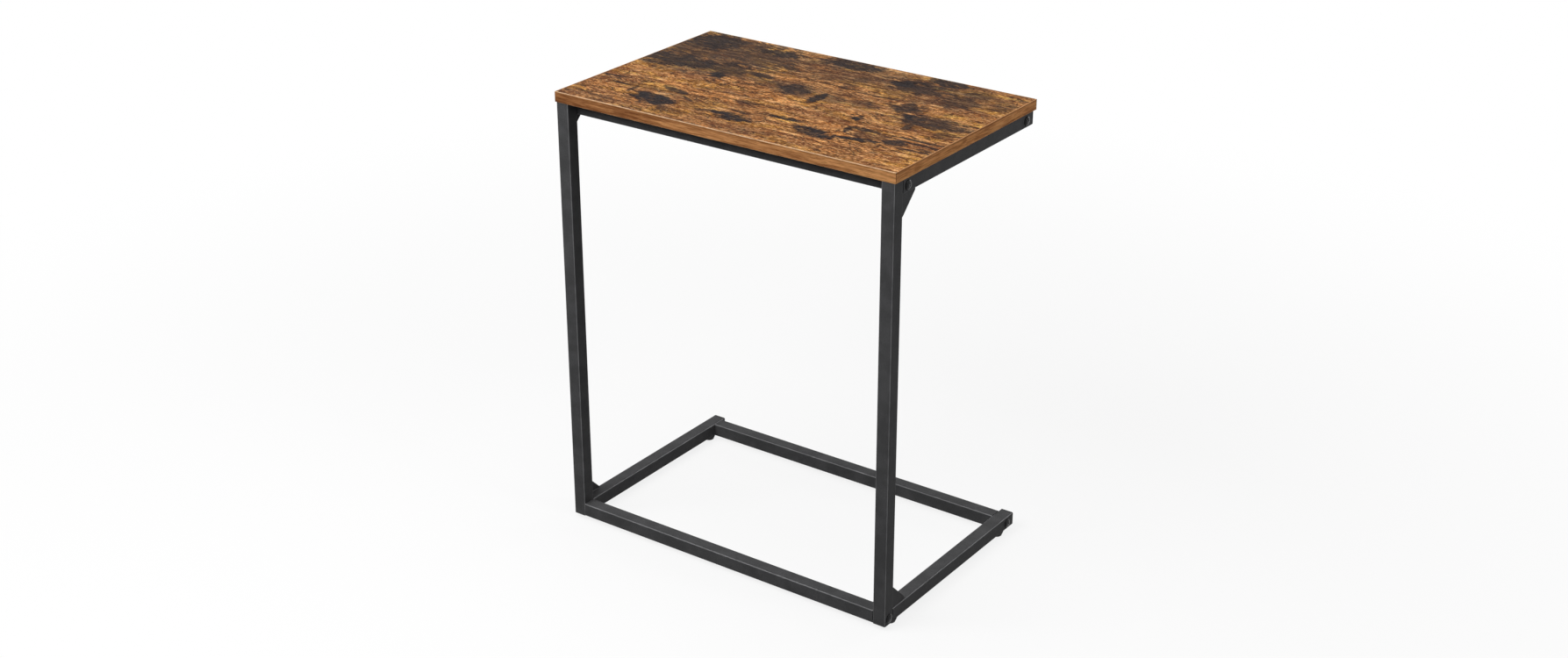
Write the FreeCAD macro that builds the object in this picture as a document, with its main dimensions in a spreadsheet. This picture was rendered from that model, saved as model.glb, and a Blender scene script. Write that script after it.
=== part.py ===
"""C-shaped side table: a plank-look board on a bolted frame of square steel tube.

A sheet holds every size. Each piece is an object of its own, bound to that sheet,
and is written to the parts folder under its own name.

Lengths are in millimetres. X runs along the table's long side, Y from the legs at
the front to the open side at the rear, and Z up from the floor. The origin lies on
the floor under the middle of the table.
"""
import FreeCAD
import Part
import Sketcher

import math
import os
import re

# Sizes that can be set one by one, in millimetres
SIZES = {
    # Whole table and its top
    "table_height": 660,
    "top_length": 550,
    "top_depth": 350,
    "board_thickness": 15,
    "band_thickness": 1,
    "band_round": 0.5,
    # Square tube of the frame
    "tube_side": 20,
    "tube_wall": 1.2,
    "tube_corner": 2,
    # Where the frame lies under the board
    "side_inset": 1.5,
    "front_inset": 0.5,
    "rear_inset": 4.5,
    "front_rail_gap": 0.5,
    "rear_rail_setback": 18,
    # Corner plates
    "gusset_leg": 31,
    "gusset_tip": 3,
    "gusset_thickness": 2.5,
    # Bolts with wide low heads, and the threaded plugs that they hold
    "bolt_diameter": 6,
    "bolt_length": 30,
    "bolt_head_diameter": 13,
    "bolt_crown_diameter": 8,
    "bolt_head_height": 3,
    "plug_length": 12,
    # Plastic caps and plugs
    "cap_flange": 3.5,
    "cap_bevel": 1,
    "cap_stem_length": 9,
    "cap_stem_wall": 1.6,
    "cap_fin_depth": 0.8,
    "cap_fin_thickness": 1,
    "cap_fin_start": 2,
    "cap_fin_pitch": 3,
    "leg_plug_depth": 5,
    "leg_plug_floor": 2,
    # Feet
    "foot_height": 7,
    "foot_gap": 0.3,
    "foot_top_diameter": 20,
    "foot_base_diameter": 15,
    "foot_floor": 2,
    "foot_front_setback": 28,
    "foot_rear_setback": 30,
    "stud_diameter": 6,
    "stud_reach": 15,
    "foot_nut_width": 10,
    "foot_nut_height": 8,
    # Clearances, and how far cuts run past what they cut
    "bolt_clearance": 0.3,
    "thread_clearance": 0.05,
    "swivel_clearance": 0.05,
    "insert_clearance": 0.1,
    "cut_overrun": 1,
}

# Sizes and places worked out from those above
DERIVED = {
    "board_length": "=top_length - 2 * band_thickness",
    "board_depth": "=top_depth - 2 * band_thickness",
    "board_underside": "=table_height - board_thickness",
    "tube_bore": "=tube_side - 2 * tube_wall",
    "tube_bore_cut": "=max(tube_corner - tube_wall; tube_wall / 4)",
    "frame_base": "=foot_height",
    "frame_half_width": "=top_length / 2 - side_inset",
    "frame_front": "=front_inset - top_depth / 2",
    "frame_rear": "=top_depth / 2 - rear_inset",
    "leg_back": "=frame_front + tube_side",
    "leg_length": "=board_underside - frame_base",
    "leg_axis_y": "=frame_front + tube_side / 2",
    "side_axis_x": "=frame_half_width - tube_side / 2",
    "upper_axis_z": "=board_underside - tube_side / 2",
    "lower_axis_z": "=frame_base + tube_side / 2",
    "arm_end": "=frame_rear - cap_flange",
    "arm_length": "=arm_end - leg_back",
    "rail_half_length": "=frame_half_width - tube_side",
    "front_upper_rail_y": "=leg_back + front_rail_gap + tube_side / 2",
    "front_lower_rail_y": "=leg_axis_y",
    "rear_rail_y": "=frame_rear - rear_rail_setback",
    "bolt_hole_radius": "=bolt_diameter / 2 + bolt_clearance",
    "bolt_thread_radius": "=bolt_diameter / 2 + thread_clearance",
    "bolt_tip_x": "=frame_half_width - bolt_length",
    "insert_side": "=tube_bore - 2 * insert_clearance",
    "cap_stem_side": "=insert_side - 2 * cap_fin_depth",
    "cap_stem_bore": "=cap_stem_side - 2 * cap_stem_wall",
    "leg_plug_bore": "=insert_side - 2 * cap_stem_wall",
    "foot_pad_height": "=foot_height - foot_gap",
    "foot_front_y": "=frame_front + foot_front_setback",
    "foot_rear_y": "=frame_rear - foot_rear_setback",
    "foot_nut_corner": "=foot_nut_width / sqrt(3)",
    "stud_seat": "=foot_floor + swivel_clearance",
    "stud_length": "=frame_base + stud_reach - stud_seat",
    "stud_bore_radius": "=stud_diameter / 2 + swivel_clearance",
    "stud_thread_radius": "=stud_diameter / 2 + thread_clearance",
    "stud_hole_radius": "=stud_diameter / 2 + bolt_clearance",
}

NUT_SIDES = 6
CAP_FINS = 3
FULL_TURN = 360
QUARTER = math.pi / 2

X = FreeCAD.Vector(1, 0, 0)
Y = FreeCAD.Vector(0, 1, 0)
Z = FreeCAD.Vector(0, 0, 1)


def facing(across, along):
    """Returns the turn that lays a piece's own X and Y on two directions."""
    return FreeCAD.Rotation(across, along, across.cross(along), "XYZ")


UPRIGHT = facing(X, Y)
ALONG_X = facing(-Z, Y)
AGAINST_X = facing(Z, Y)
ALONG_Y = facing(X, -Z)

# Sign of X on each side of the table
SIDES = {"left": "-", "right": ""}

document = FreeCAD.newDocument("SideTable")
sheet = document.addObject("Spreadsheet::Sheet", "Sizes")


# Sheet and bindings
def fill_sheet():
    """Writes each size to a cell of its own and names the cell after it."""
    for row, (name, entry) in enumerate([*SIZES.items(), *DERIVED.items()], start=1):
        sheet.set(f"A{row}", name)
        sheet.set(f"B{row}", str(entry))
        sheet.setAlias(f"B{row}", name)
    document.recompute()


def bound(text):
    """Points each named size in a sum to its cell in the sheet."""
    return re.sub(r"[a-z]+(_[a-z]+)+", lambda name: f"Sizes.{name[0]}", text)


def value(text):
    """Works out a sum of named sizes."""
    return float(sheet.evalExpression(bound(text)))


def put(piece, at, turn=UPRIGHT):
    """Turns a piece and binds its place to sums of named sizes."""
    piece.Placement = FreeCAD.Placement(FreeCAD.Vector(), turn)
    for letter, text in zip("xyz", at):
        piece.setExpression(f"Placement.Base.{letter}", bound(text))
    return piece


# Drawing helpers
def new_body(label):
    """Starts an empty piece."""
    piece = document.addObject("PartDesign::Body", label)
    piece.Label = label
    return piece


def new_sketch(piece, role="XY_Plane", height="0"):
    """Starts a sketch on one of the piece's own planes, raised by a sum of named sizes."""
    sketch = piece.newObject("Sketcher::SketchObject", "Profile")
    plane = next(feature for feature in piece.Origin.OriginFeatures if feature.Role == role)
    sketch.AttachmentSupport = (plane, [""])
    sketch.MapMode = "FlatFace"
    sketch.setExpression("AttachmentOffset.Base.z", bound(height))
    return sketch


def bind_datum(sketch, constraint, text, name):
    """Adds a measured constraint to a sketch and binds it to a sum of named sizes."""
    index = sketch.addConstraint(constraint)
    sketch.renameConstraint(index, name)
    sketch.setExpression(f"Constraints.{name}", bound(text))


def pin_corner(sketch, line, across, along):
    """Holds the start of a line at a place measured from the sketch's origin."""
    for kind, axis, text in (("DistanceX", -2, across), ("DistanceY", -1, along)):
        if text == "0":
            sketch.addConstraint(Sketcher.Constraint("PointOnObject", line, 1, axis))
        else:
            measure = Sketcher.Constraint(kind, -1, 1, line, 1, value(text))
            bind_datum(sketch, measure, text, f"{kind}_{line}")


def draw_outline(sketch, corners):
    """Draws a closed outline whose corners are pairs of sums of named sizes."""
    points = [FreeCAD.Vector(value(across), value(along), 0) for across, along in corners]
    lines = [sketch.addGeometry(Part.LineSegment(*ends)) for ends in zip(points, points[1:] + points[:1])]
    for number, (across, along) in enumerate(corners):
        sketch.addConstraint(Sketcher.Constraint("Coincident", lines[number - 1], 2, lines[number], 1))
        pin_corner(sketch, lines[number], across, along)


def draw_circle(sketch, radius):
    """Draws a circle about the sketch's origin."""
    circle = sketch.addGeometry(Part.Circle(FreeCAD.Vector(), Z, value(radius)))
    sketch.addConstraint(Sketcher.Constraint("Coincident", circle, 3, -1, 1))
    bind_datum(sketch, Sketcher.Constraint("Radius", circle, value(radius)), radius, f"radius_{circle}")


def draw_cut_square(sketch, side, cut):
    """Draws a square about the sketch's origin with its corners cut off."""
    half, flat = f"({side} / 2)", f"({side} / 2 - {cut})"
    draw_outline(sketch, [
        (f"-{flat}", f"-{half}"), (flat, f"-{half}"),
        (half, f"-{flat}"), (half, flat),
        (flat, half), (f"-{flat}", half),
        (f"-{half}", flat), (f"-{half}", f"-{flat}"),
    ])


def draw_round_square(sketch, side, corner):
    """Draws a square with round corners about the sketch's origin."""
    half = value(side) / 2
    radius = value(corner)
    flat = half - radius
    first = sketch.GeometryCount
    for number in range(4):
        turn = FreeCAD.Rotation(Z, math.degrees(number * QUARTER))
        start = turn.multVec(FreeCAD.Vector(-flat, -half, 0))
        end = turn.multVec(FreeCAD.Vector(flat, -half, 0))
        centre = turn.multVec(FreeCAD.Vector(flat, -flat, 0))
        sketch.addGeometry(Part.LineSegment(start, end))
        bend = Part.Circle(centre, Z, radius)
        sketch.addGeometry(Part.ArcOfCircle(bend, (number - 1) * QUARTER, number * QUARTER))
    lines = [first + 2 * number for number in range(4)]
    bends = [line + 1 for line in lines]
    for number in range(4):
        following = lines[(number + 1) % 4]
        level = "Horizontal" if number % 2 == 0 else "Vertical"
        sketch.addConstraint(Sketcher.Constraint("Tangent", lines[number], 2, bends[number], 1))
        sketch.addConstraint(Sketcher.Constraint("Tangent", bends[number], 2, following, 1))
        sketch.addConstraint(Sketcher.Constraint(level, lines[number]))
    for bend in bends[1:]:
        sketch.addConstraint(Sketcher.Constraint("Equal", bends[0], bend))
    sketch.addConstraint(Sketcher.Constraint("Symmetric", bends[0], 3, bends[2], 3, -1, 1))
    width = Sketcher.Constraint("DistanceX", lines[3], 1, lines[1], 1, 2 * half)
    height = Sketcher.Constraint("DistanceY", lines[0], 1, lines[2], 1, 2 * half)
    bind_datum(sketch, width, side, f"width_{first}")
    bind_datum(sketch, height, side, f"height_{first}")
    bind_datum(sketch, Sketcher.Constraint("Radius", bends[0], radius), corner, f"corner_{first}")


# Solid helpers
def pad(piece, sketch, length, down=False):
    """Thickens a sketch, upwards unless told otherwise."""
    solid = piece.newObject("PartDesign::Pad", "Pad")
    solid.Profile = sketch
    solid.Reversed = down
    solid.setExpression("Length", bound(length))
    return solid


def turned(label, corners):
    """Makes a round piece by turning an outline about the piece's own Z axis."""
    piece = new_body(label)
    sketch = new_sketch(piece, "XZ_Plane")
    draw_outline(sketch, corners)
    solid = piece.newObject("PartDesign::Revolution", "Turned")
    solid.Profile = sketch
    solid.ReferenceAxis = (sketch, ["V_Axis"])
    solid.Angle = FULL_TURN
    return piece


def drill(piece, radius, depth, at, turn=UPRIGHT):
    """Cuts a round hole that starts at a place and runs along the turned Z axis."""
    hole = piece.newObject("PartDesign::SubtractiveCylinder", "Hole")
    hole.setExpression("Radius", bound(radius))
    hole.setExpression("Height", bound(depth))
    put(hole, at, turn)


def finish_edges(piece, kind, chosen, measure, size):
    """Adds a fillet or a chamfer on the edges of a piece that pass a test."""
    document.recompute()
    solid = piece.Tip
    names = [f"Edge{number}" for number, edge in enumerate(solid.Shape.Edges, start=1) if chosen(edge)]
    feature = piece.newObject(f"PartDesign::{kind}", kind)
    feature.Base = (solid, names)
    feature.setExpression(measure, bound(size))


def round_edges(piece, chosen, radius):
    """Rounds the edges that pass a test."""
    finish_edges(piece, "Fillet", chosen, "Radius", radius)


def bevel_edges(piece, chosen, size):
    """Bevels the edges that pass a test."""
    finish_edges(piece, "Chamfer", chosen, "Size", size)


def on_level(edge, height):
    """Tells whether an edge lies wholly at one height."""
    heights = (edge.BoundBox.ZMin, edge.BoundBox.ZMax)
    return all(math.isclose(found, height, abs_tol=Part.Precision.confusion()) for found in heights)


def repeat(label, pattern, places):
    """Makes one group of separate copies of a piece, each with its own turn and place."""
    copies = []
    for turn, at in places:
        copy = document.addObject("App::Link", f"{label}_copy")
        copy.LinkedObject = pattern
        copies.append(put(copy, at, turn))
    group = document.addObject("Part::Compound", label)
    group.Label = label
    group.Links = copies
    return group


# Top
def make_board():
    """Makes the board, which lies on the frame."""
    board = new_body("tabletop_board")
    sketch = new_sketch(board)
    draw_outline(sketch, [
        ("-board_length / 2", "-board_depth / 2"),
        ("board_length / 2", "-board_depth / 2"),
        ("board_length / 2", "board_depth / 2"),
        ("-board_length / 2", "board_depth / 2"),
    ])
    pad(board, sketch, "board_thickness")
    return put(board, ("0", "0", "board_underside"))


def make_band(label, length, at, turn):
    """Makes a strip for one edge of the board, its outer long edges rounded."""
    band = new_body(label)
    sketch = new_sketch(band)
    draw_outline(sketch, [
        ("0", "0"),
        ("band_thickness", "0"),
        ("band_thickness", "board_thickness"),
        ("0", "board_thickness"),
    ])
    pad(band, sketch, length)

    def outer_long(edge):
        """Tells whether an edge runs along the strip on its outer face."""
        box = edge.BoundBox
        return box.ZLength > value(length) / 2 and box.XMin > value("band_thickness") / 2

    round_edges(band, outer_long, "band_round")
    return put(band, at, turn)


def make_top():
    """Makes the board and the strips on its four edges."""
    under = "board_underside"
    return [
        make_board(),
        make_band("front_edge_band", "top_length", ("top_length / 2", "-board_depth / 2", under), facing(-Y, Z)),
        make_band("rear_edge_band", "top_length", ("-top_length / 2", "board_depth / 2", under), facing(Y, Z)),
        make_band("left_edge_band", "board_depth", ("-board_length / 2", "-board_depth / 2", under), facing(-X, Z)),
        make_band("right_edge_band", "board_depth", ("board_length / 2", "board_depth / 2", under), facing(X, Z)),
    ]


# Side frames
def make_tube(label, length):
    """Makes a length of square tube that stands on its own origin."""
    tube = new_body(label)
    sketch = new_sketch(tube)
    draw_round_square(sketch, "tube_side", "tube_corner")
    draw_cut_square(sketch, "tube_bore", "tube_bore_cut")
    pad(tube, sketch, length)
    return tube


def drill_across(tube, height):
    """Drills both walls of a tube for a bolt, at a given height above the tube's own origin."""
    reach = "tube_side / 2 + cut_overrun"
    drill(tube, "bolt_hole_radius", f"2 * ({reach})", (f"-({reach})", "0", height), ALONG_X)


def make_leg(side, sign):
    """Makes an upright, drilled near its foot for the front lower rail's bolt."""
    leg = make_tube(f"{side}_leg", "leg_length")
    drill_across(leg, "lower_axis_z - frame_base")
    return put(leg, (f"{sign}side_axis_x", "leg_axis_y", "frame_base"))


def make_upper_arm(side, sign):
    """Makes the arm under the board, drilled for the bolts of both upper rails."""
    arm = make_tube(f"{side}_upper_arm", "arm_length")
    drill_across(arm, "front_upper_rail_y - leg_back")
    drill_across(arm, "rear_rail_y - leg_back")
    return put(arm, (f"{sign}side_axis_x", "leg_back", "upper_axis_z"), ALONG_Y)


def make_lower_arm(side, sign):
    """Makes the arm on the floor side, drilled for a rail's bolt and for two feet."""
    arm = make_tube(f"{side}_lower_arm", "arm_length")
    drill_across(arm, "rear_rail_y - leg_back")
    for foot in ("foot_front_y", "foot_rear_y"):
        at = ("0", "tube_bore / 2 - cut_overrun", f"{foot} - leg_back")
        drill(arm, "stud_hole_radius", "tube_wall + 2 * cut_overrun", at, ALONG_Y)
    return put(arm, (f"{sign}side_axis_x", "leg_back", "lower_axis_z"), ALONG_Y)


def make_gusset(label, at, turn):
    """Makes a triangular corner plate with blunt tips."""
    gusset = new_body(label)
    sketch = new_sketch(gusset)
    draw_outline(sketch, [
        ("0", "0"),
        ("gusset_leg", "0"),
        ("gusset_leg", "gusset_tip"),
        ("gusset_tip", "gusset_leg"),
        ("0", "gusset_leg"),
    ])
    pad(gusset, sketch, "gusset_thickness")
    return put(gusset, at, turn)


def make_gussets(side):
    """Makes the two plates of one side frame, on the flat of the tubes next to its outer face."""
    across = "frame_half_width - tube_corner - gusset_thickness"
    if side == "left":
        across = "tube_corner - frame_half_width"
    upper_corner = (across, "leg_back", "board_underside - tube_side")
    lower_corner = (across, "leg_back", "frame_base + tube_side")
    return [
        make_gusset(f"{side}_upper_gusset", upper_corner, facing(-Z, Y)),
        make_gusset(f"{side}_lower_gusset", lower_corner, facing(Y, Z)),
    ]


def make_cap(label, at):
    """Makes a moulded end cap: a bevelled flange, and a hollow stem with fins that grip the tube."""
    cap = new_body(label)
    flange = new_sketch(cap)
    draw_round_square(flange, "tube_side", "tube_corner")
    pad(cap, flange, "cap_flange")
    bevel_edges(cap, lambda edge: on_level(edge, value("cap_flange")), "cap_bevel")
    stem = new_sketch(cap)
    draw_cut_square(stem, "cap_stem_side", "tube_bore_cut")
    draw_cut_square(stem, "cap_stem_bore", "tube_bore_cut")
    pad(cap, stem, "cap_stem_length", down=True)
    fin = new_sketch(cap, height="-cap_fin_start")
    draw_cut_square(fin, "insert_side", "tube_bore_cut")
    draw_cut_square(fin, "cap_stem_bore", "tube_bore_cut")
    first = pad(cap, fin, "cap_fin_thickness", down=True)
    rows = cap.newObject("PartDesign::LinearPattern", "Fins")
    rows.Originals = [first]
    rows.Direction = (fin, ["N_Axis"])
    rows.Reversed = True
    rows.Mode = "Spacing"
    rows.Occurrences = CAP_FINS
    rows.setExpression("Offset", bound("cap_fin_pitch"))
    cap.Tip = rows
    return put(cap, at, ALONG_Y)


def make_leg_plug(side, sign):
    """Makes the cup that closes a leg's lower end, flush with the tube."""
    plug = new_body(f"{side}_leg_plug")
    floor = new_sketch(plug)
    draw_cut_square(floor, "insert_side", "tube_bore_cut")
    pad(plug, floor, "leg_plug_floor")
    wall = new_sketch(plug, height="leg_plug_floor")
    draw_cut_square(wall, "insert_side", "tube_bore_cut")
    draw_cut_square(wall, "leg_plug_bore", "tube_bore_cut")
    pad(plug, wall, "leg_plug_depth - leg_plug_floor")
    return put(plug, (f"{sign}side_axis_x", "leg_axis_y", "frame_base"))


def make_side_frames():
    """Makes the two C-shaped side frames with their plates, caps and plugs."""
    pieces = []
    for side, sign in SIDES.items():
        across = f"{sign}side_axis_x"
        pieces += [
            make_leg(side, sign),
            make_upper_arm(side, sign),
            make_lower_arm(side, sign),
            make_cap(f"{side}_upper_cap", (across, "arm_end", "upper_axis_z")),
            make_cap(f"{side}_lower_cap", (across, "arm_end", "lower_axis_z")),
            make_leg_plug(side, sign),
            *make_gussets(side),
        ]
    return pieces


# Cross rails and what holds them
RAILS = {
    "front_upper_rail": ("front_upper_rail_y", "upper_axis_z"),
    "rear_upper_rail": ("rear_rail_y", "upper_axis_z"),
    "front_lower_rail": ("front_lower_rail_y", "lower_axis_z"),
    "rear_lower_rail": ("rear_rail_y", "lower_axis_z"),
}


def make_rail(label, along, height):
    """Makes a cross rail that reaches from one side frame to the other."""
    rail = make_tube(label, "2 * rail_half_length")
    return put(rail, ("-rail_half_length", along, height), ALONG_X)


def make_plug_pattern():
    """Makes one threaded plug for the end of a rail."""
    plug = new_body("rail_plug_pattern")
    sketch = new_sketch(plug)
    draw_cut_square(sketch, "insert_side", "tube_bore_cut")
    draw_circle(sketch, "bolt_thread_radius")
    pad(plug, sketch, "plug_length")
    return plug


def make_bolt_pattern():
    """Makes one bolt with a wide low head; it stands on its tip."""
    return turned("frame_bolt_pattern", [
        ("0", "0"),
        ("bolt_diameter / 2", "0"),
        ("bolt_diameter / 2", "bolt_length"),
        ("bolt_head_diameter / 2", "bolt_length"),
        ("bolt_crown_diameter / 2", "bolt_length + bolt_head_height"),
        ("0", "bolt_length + bolt_head_height"),
    ])


def make_rails():
    """Makes the cross rails with their plugs and bolts."""
    pieces = [make_rail(label, along, height) for label, (along, height) in RAILS.items()]
    plugs, bolts = [], []
    for along, height in RAILS.values():
        plugs.append((ALONG_X, ("-rail_half_length", along, height)))
        plugs.append((ALONG_X, ("rail_half_length - plug_length", along, height)))
        bolts.append((AGAINST_X, ("-bolt_tip_x", along, height)))
        bolts.append((ALONG_X, ("bolt_tip_x", along, height)))
    return pieces + [
        repeat("rail_plugs", make_plug_pattern(), plugs),
        repeat("frame_bolts", make_bolt_pattern(), bolts),
    ]


# Levelling feet
FEET = {"front": "foot_front_y", "rear": "foot_rear_y"}


def make_foot_pad(label, across, along):
    """Makes a tapered pad with a blind socket for its stud."""
    foot = turned(label, [
        ("0", "0"),
        ("foot_base_diameter / 2", "0"),
        ("foot_top_diameter / 2", "foot_pad_height"),
        ("stud_bore_radius", "foot_pad_height"),
        ("stud_bore_radius", "foot_floor"),
        ("0", "foot_floor"),
    ])
    return put(foot, (across, along, "0"))


def make_foot_stud(label, across, along):
    """Makes a stud that turns in its pad and screws into the nut in the arm."""
    stud = turned(label, [
        ("0", "0"),
        ("stud_diameter / 2", "0"),
        ("stud_diameter / 2", "stud_length"),
        ("0", "stud_length"),
    ])
    return put(stud, (across, along, "stud_seat"))


def make_nut_pattern():
    """Makes one six-sided nut."""
    nut = new_body("foot_nut_pattern")
    solid = nut.newObject("PartDesign::AdditivePrism", "Flats")
    solid.Polygon = NUT_SIDES
    solid.setExpression("Circumradius", bound("foot_nut_corner"))
    solid.setExpression("Height", bound("foot_nut_height"))
    drill(nut, "stud_thread_radius", "foot_nut_height + 2 * cut_overrun", ("0", "0", "-cut_overrun"))
    return nut


def make_feet():
    """Makes the four levelling feet and the nuts that they screw into."""
    pieces = []
    nuts = []
    for end, along in FEET.items():
        for side, sign in SIDES.items():
            across = f"{sign}side_axis_x"
            pieces.append(make_foot_pad(f"{end}_{side}_foot_pad", across, along))
            pieces.append(make_foot_stud(f"{end}_{side}_foot_stud", across, along))
            nuts.append((UPRIGHT, (across, along, "frame_base + tube_wall")))
    return pieces + [repeat("foot_nuts", make_nut_pattern(), nuts)]


# Checking and writing
def check(pieces):
    """Stops the build if an object or a solid came out wrong."""
    for item in document.Objects:
        if "Invalid" in item.State or "Error" in item.State:
            raise RuntimeError(f"{item.Label} did not build: {item.State}")
    for piece in pieces:
        if piece.Shape.isNull() or not piece.Shape.isValid() or not piece.Shape.Solids:
            raise RuntimeError(f"{piece.Label} is not a valid solid")


def write(pieces):
    """Writes each piece to its own file."""
    os.makedirs("parts", exist_ok=True)
    for piece in pieces:
        piece.Shape.exportStep(f"parts/{piece.Label}.step")
        print(f"{piece.Label}: {len(piece.Shape.Solids)} solids, {piece.Shape.Volume:.1f} mm3")


def main():
    """Builds the table from the sheet and writes its pieces."""
    fill_sheet()
    pieces = make_top() + make_side_frames() + make_rails() + make_feet()
    document.recompute()
    check(pieces)
    write(pieces)


main()
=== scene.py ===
"""Looks of the C-shaped side table.

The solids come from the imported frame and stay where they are. This script dresses
them, models the small detail that they leave out, and sets a plain studio around
them. Lengths are in metres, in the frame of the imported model.
"""
import logging
import math
from collections.abc import Callable, Iterator
from contextlib import contextmanager
from dataclasses import dataclass
from enum import Enum

import bmesh
import bpy
from mathutils import Color, Euler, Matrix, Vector


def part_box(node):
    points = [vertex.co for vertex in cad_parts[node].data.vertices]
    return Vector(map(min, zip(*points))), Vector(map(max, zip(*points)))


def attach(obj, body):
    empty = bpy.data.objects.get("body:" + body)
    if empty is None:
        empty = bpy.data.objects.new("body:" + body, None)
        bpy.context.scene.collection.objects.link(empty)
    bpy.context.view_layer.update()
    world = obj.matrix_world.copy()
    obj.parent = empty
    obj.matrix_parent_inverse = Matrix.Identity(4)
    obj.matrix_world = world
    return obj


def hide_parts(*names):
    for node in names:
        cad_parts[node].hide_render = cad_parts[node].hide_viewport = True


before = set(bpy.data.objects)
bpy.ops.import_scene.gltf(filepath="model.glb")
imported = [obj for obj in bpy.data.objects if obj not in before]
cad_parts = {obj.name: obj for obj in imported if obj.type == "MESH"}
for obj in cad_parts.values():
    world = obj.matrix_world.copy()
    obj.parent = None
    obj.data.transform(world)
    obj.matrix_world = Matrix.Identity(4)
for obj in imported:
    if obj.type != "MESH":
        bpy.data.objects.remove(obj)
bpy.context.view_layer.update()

LOG = logging.getLogger("side_table")
MERGE_DISTANCE = 1e-6
# Attribute of the places painted light grey: partly bare metal from wear, partly a painted highlight
WORN_AND_HIGHLIGHT_MASK = "worn"

Colour = tuple[float, float, float, float]
Point = tuple[float, float, float]
Span = tuple[float, float]
Socket = bpy.types.NodeSocket
Entry = float | tuple[float, ...] | Socket

# A noise is this on average, and nearly all of it lies in this span
NOISE_MIDDLE = 0.5
NOISE_SPAN: Span = (0.3, 0.7)

# How far up or down a level face's normal points at least, and an upright one's at most
LEVEL_LIMIT = 0.9
UPRIGHT_LIMIT = 0.1

# A broad round face has more corners than this
QUAD_CORNERS = 4


class Side(Enum):
    """The two side frames, with the sign of X on each."""

    LEFT = -1
    RIGHT = 1


class End(Enum):
    """The two ends of a side frame's arms."""

    FRONT = "front"
    REAR = "rear"


class GrainWay(Enum):
    """The direction in which a wood grain runs, as the order of axes that lays it along X."""

    ALONG_X = ("X", "Y", "Z")
    ALONG_Y = ("Y", "X", "Z")


def shade(red: int, green: int, blue: int) -> Colour:
    """Returns the linear colour that shaders use for one picked on screen, with parts from 0 to 255."""
    picked = Color((red / 255, green / 255, blue / 255))
    return (*picked.from_srgb_to_scene_linear(), 1.0)


# Node helpers
@dataclass(frozen=True)
class NoiseLayer:
    """A noise that is drawn out along X: its scales along and across, and its finer layers."""

    along: float
    across: float
    detail: float = 2.0
    roughness: float = 0.5


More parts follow.
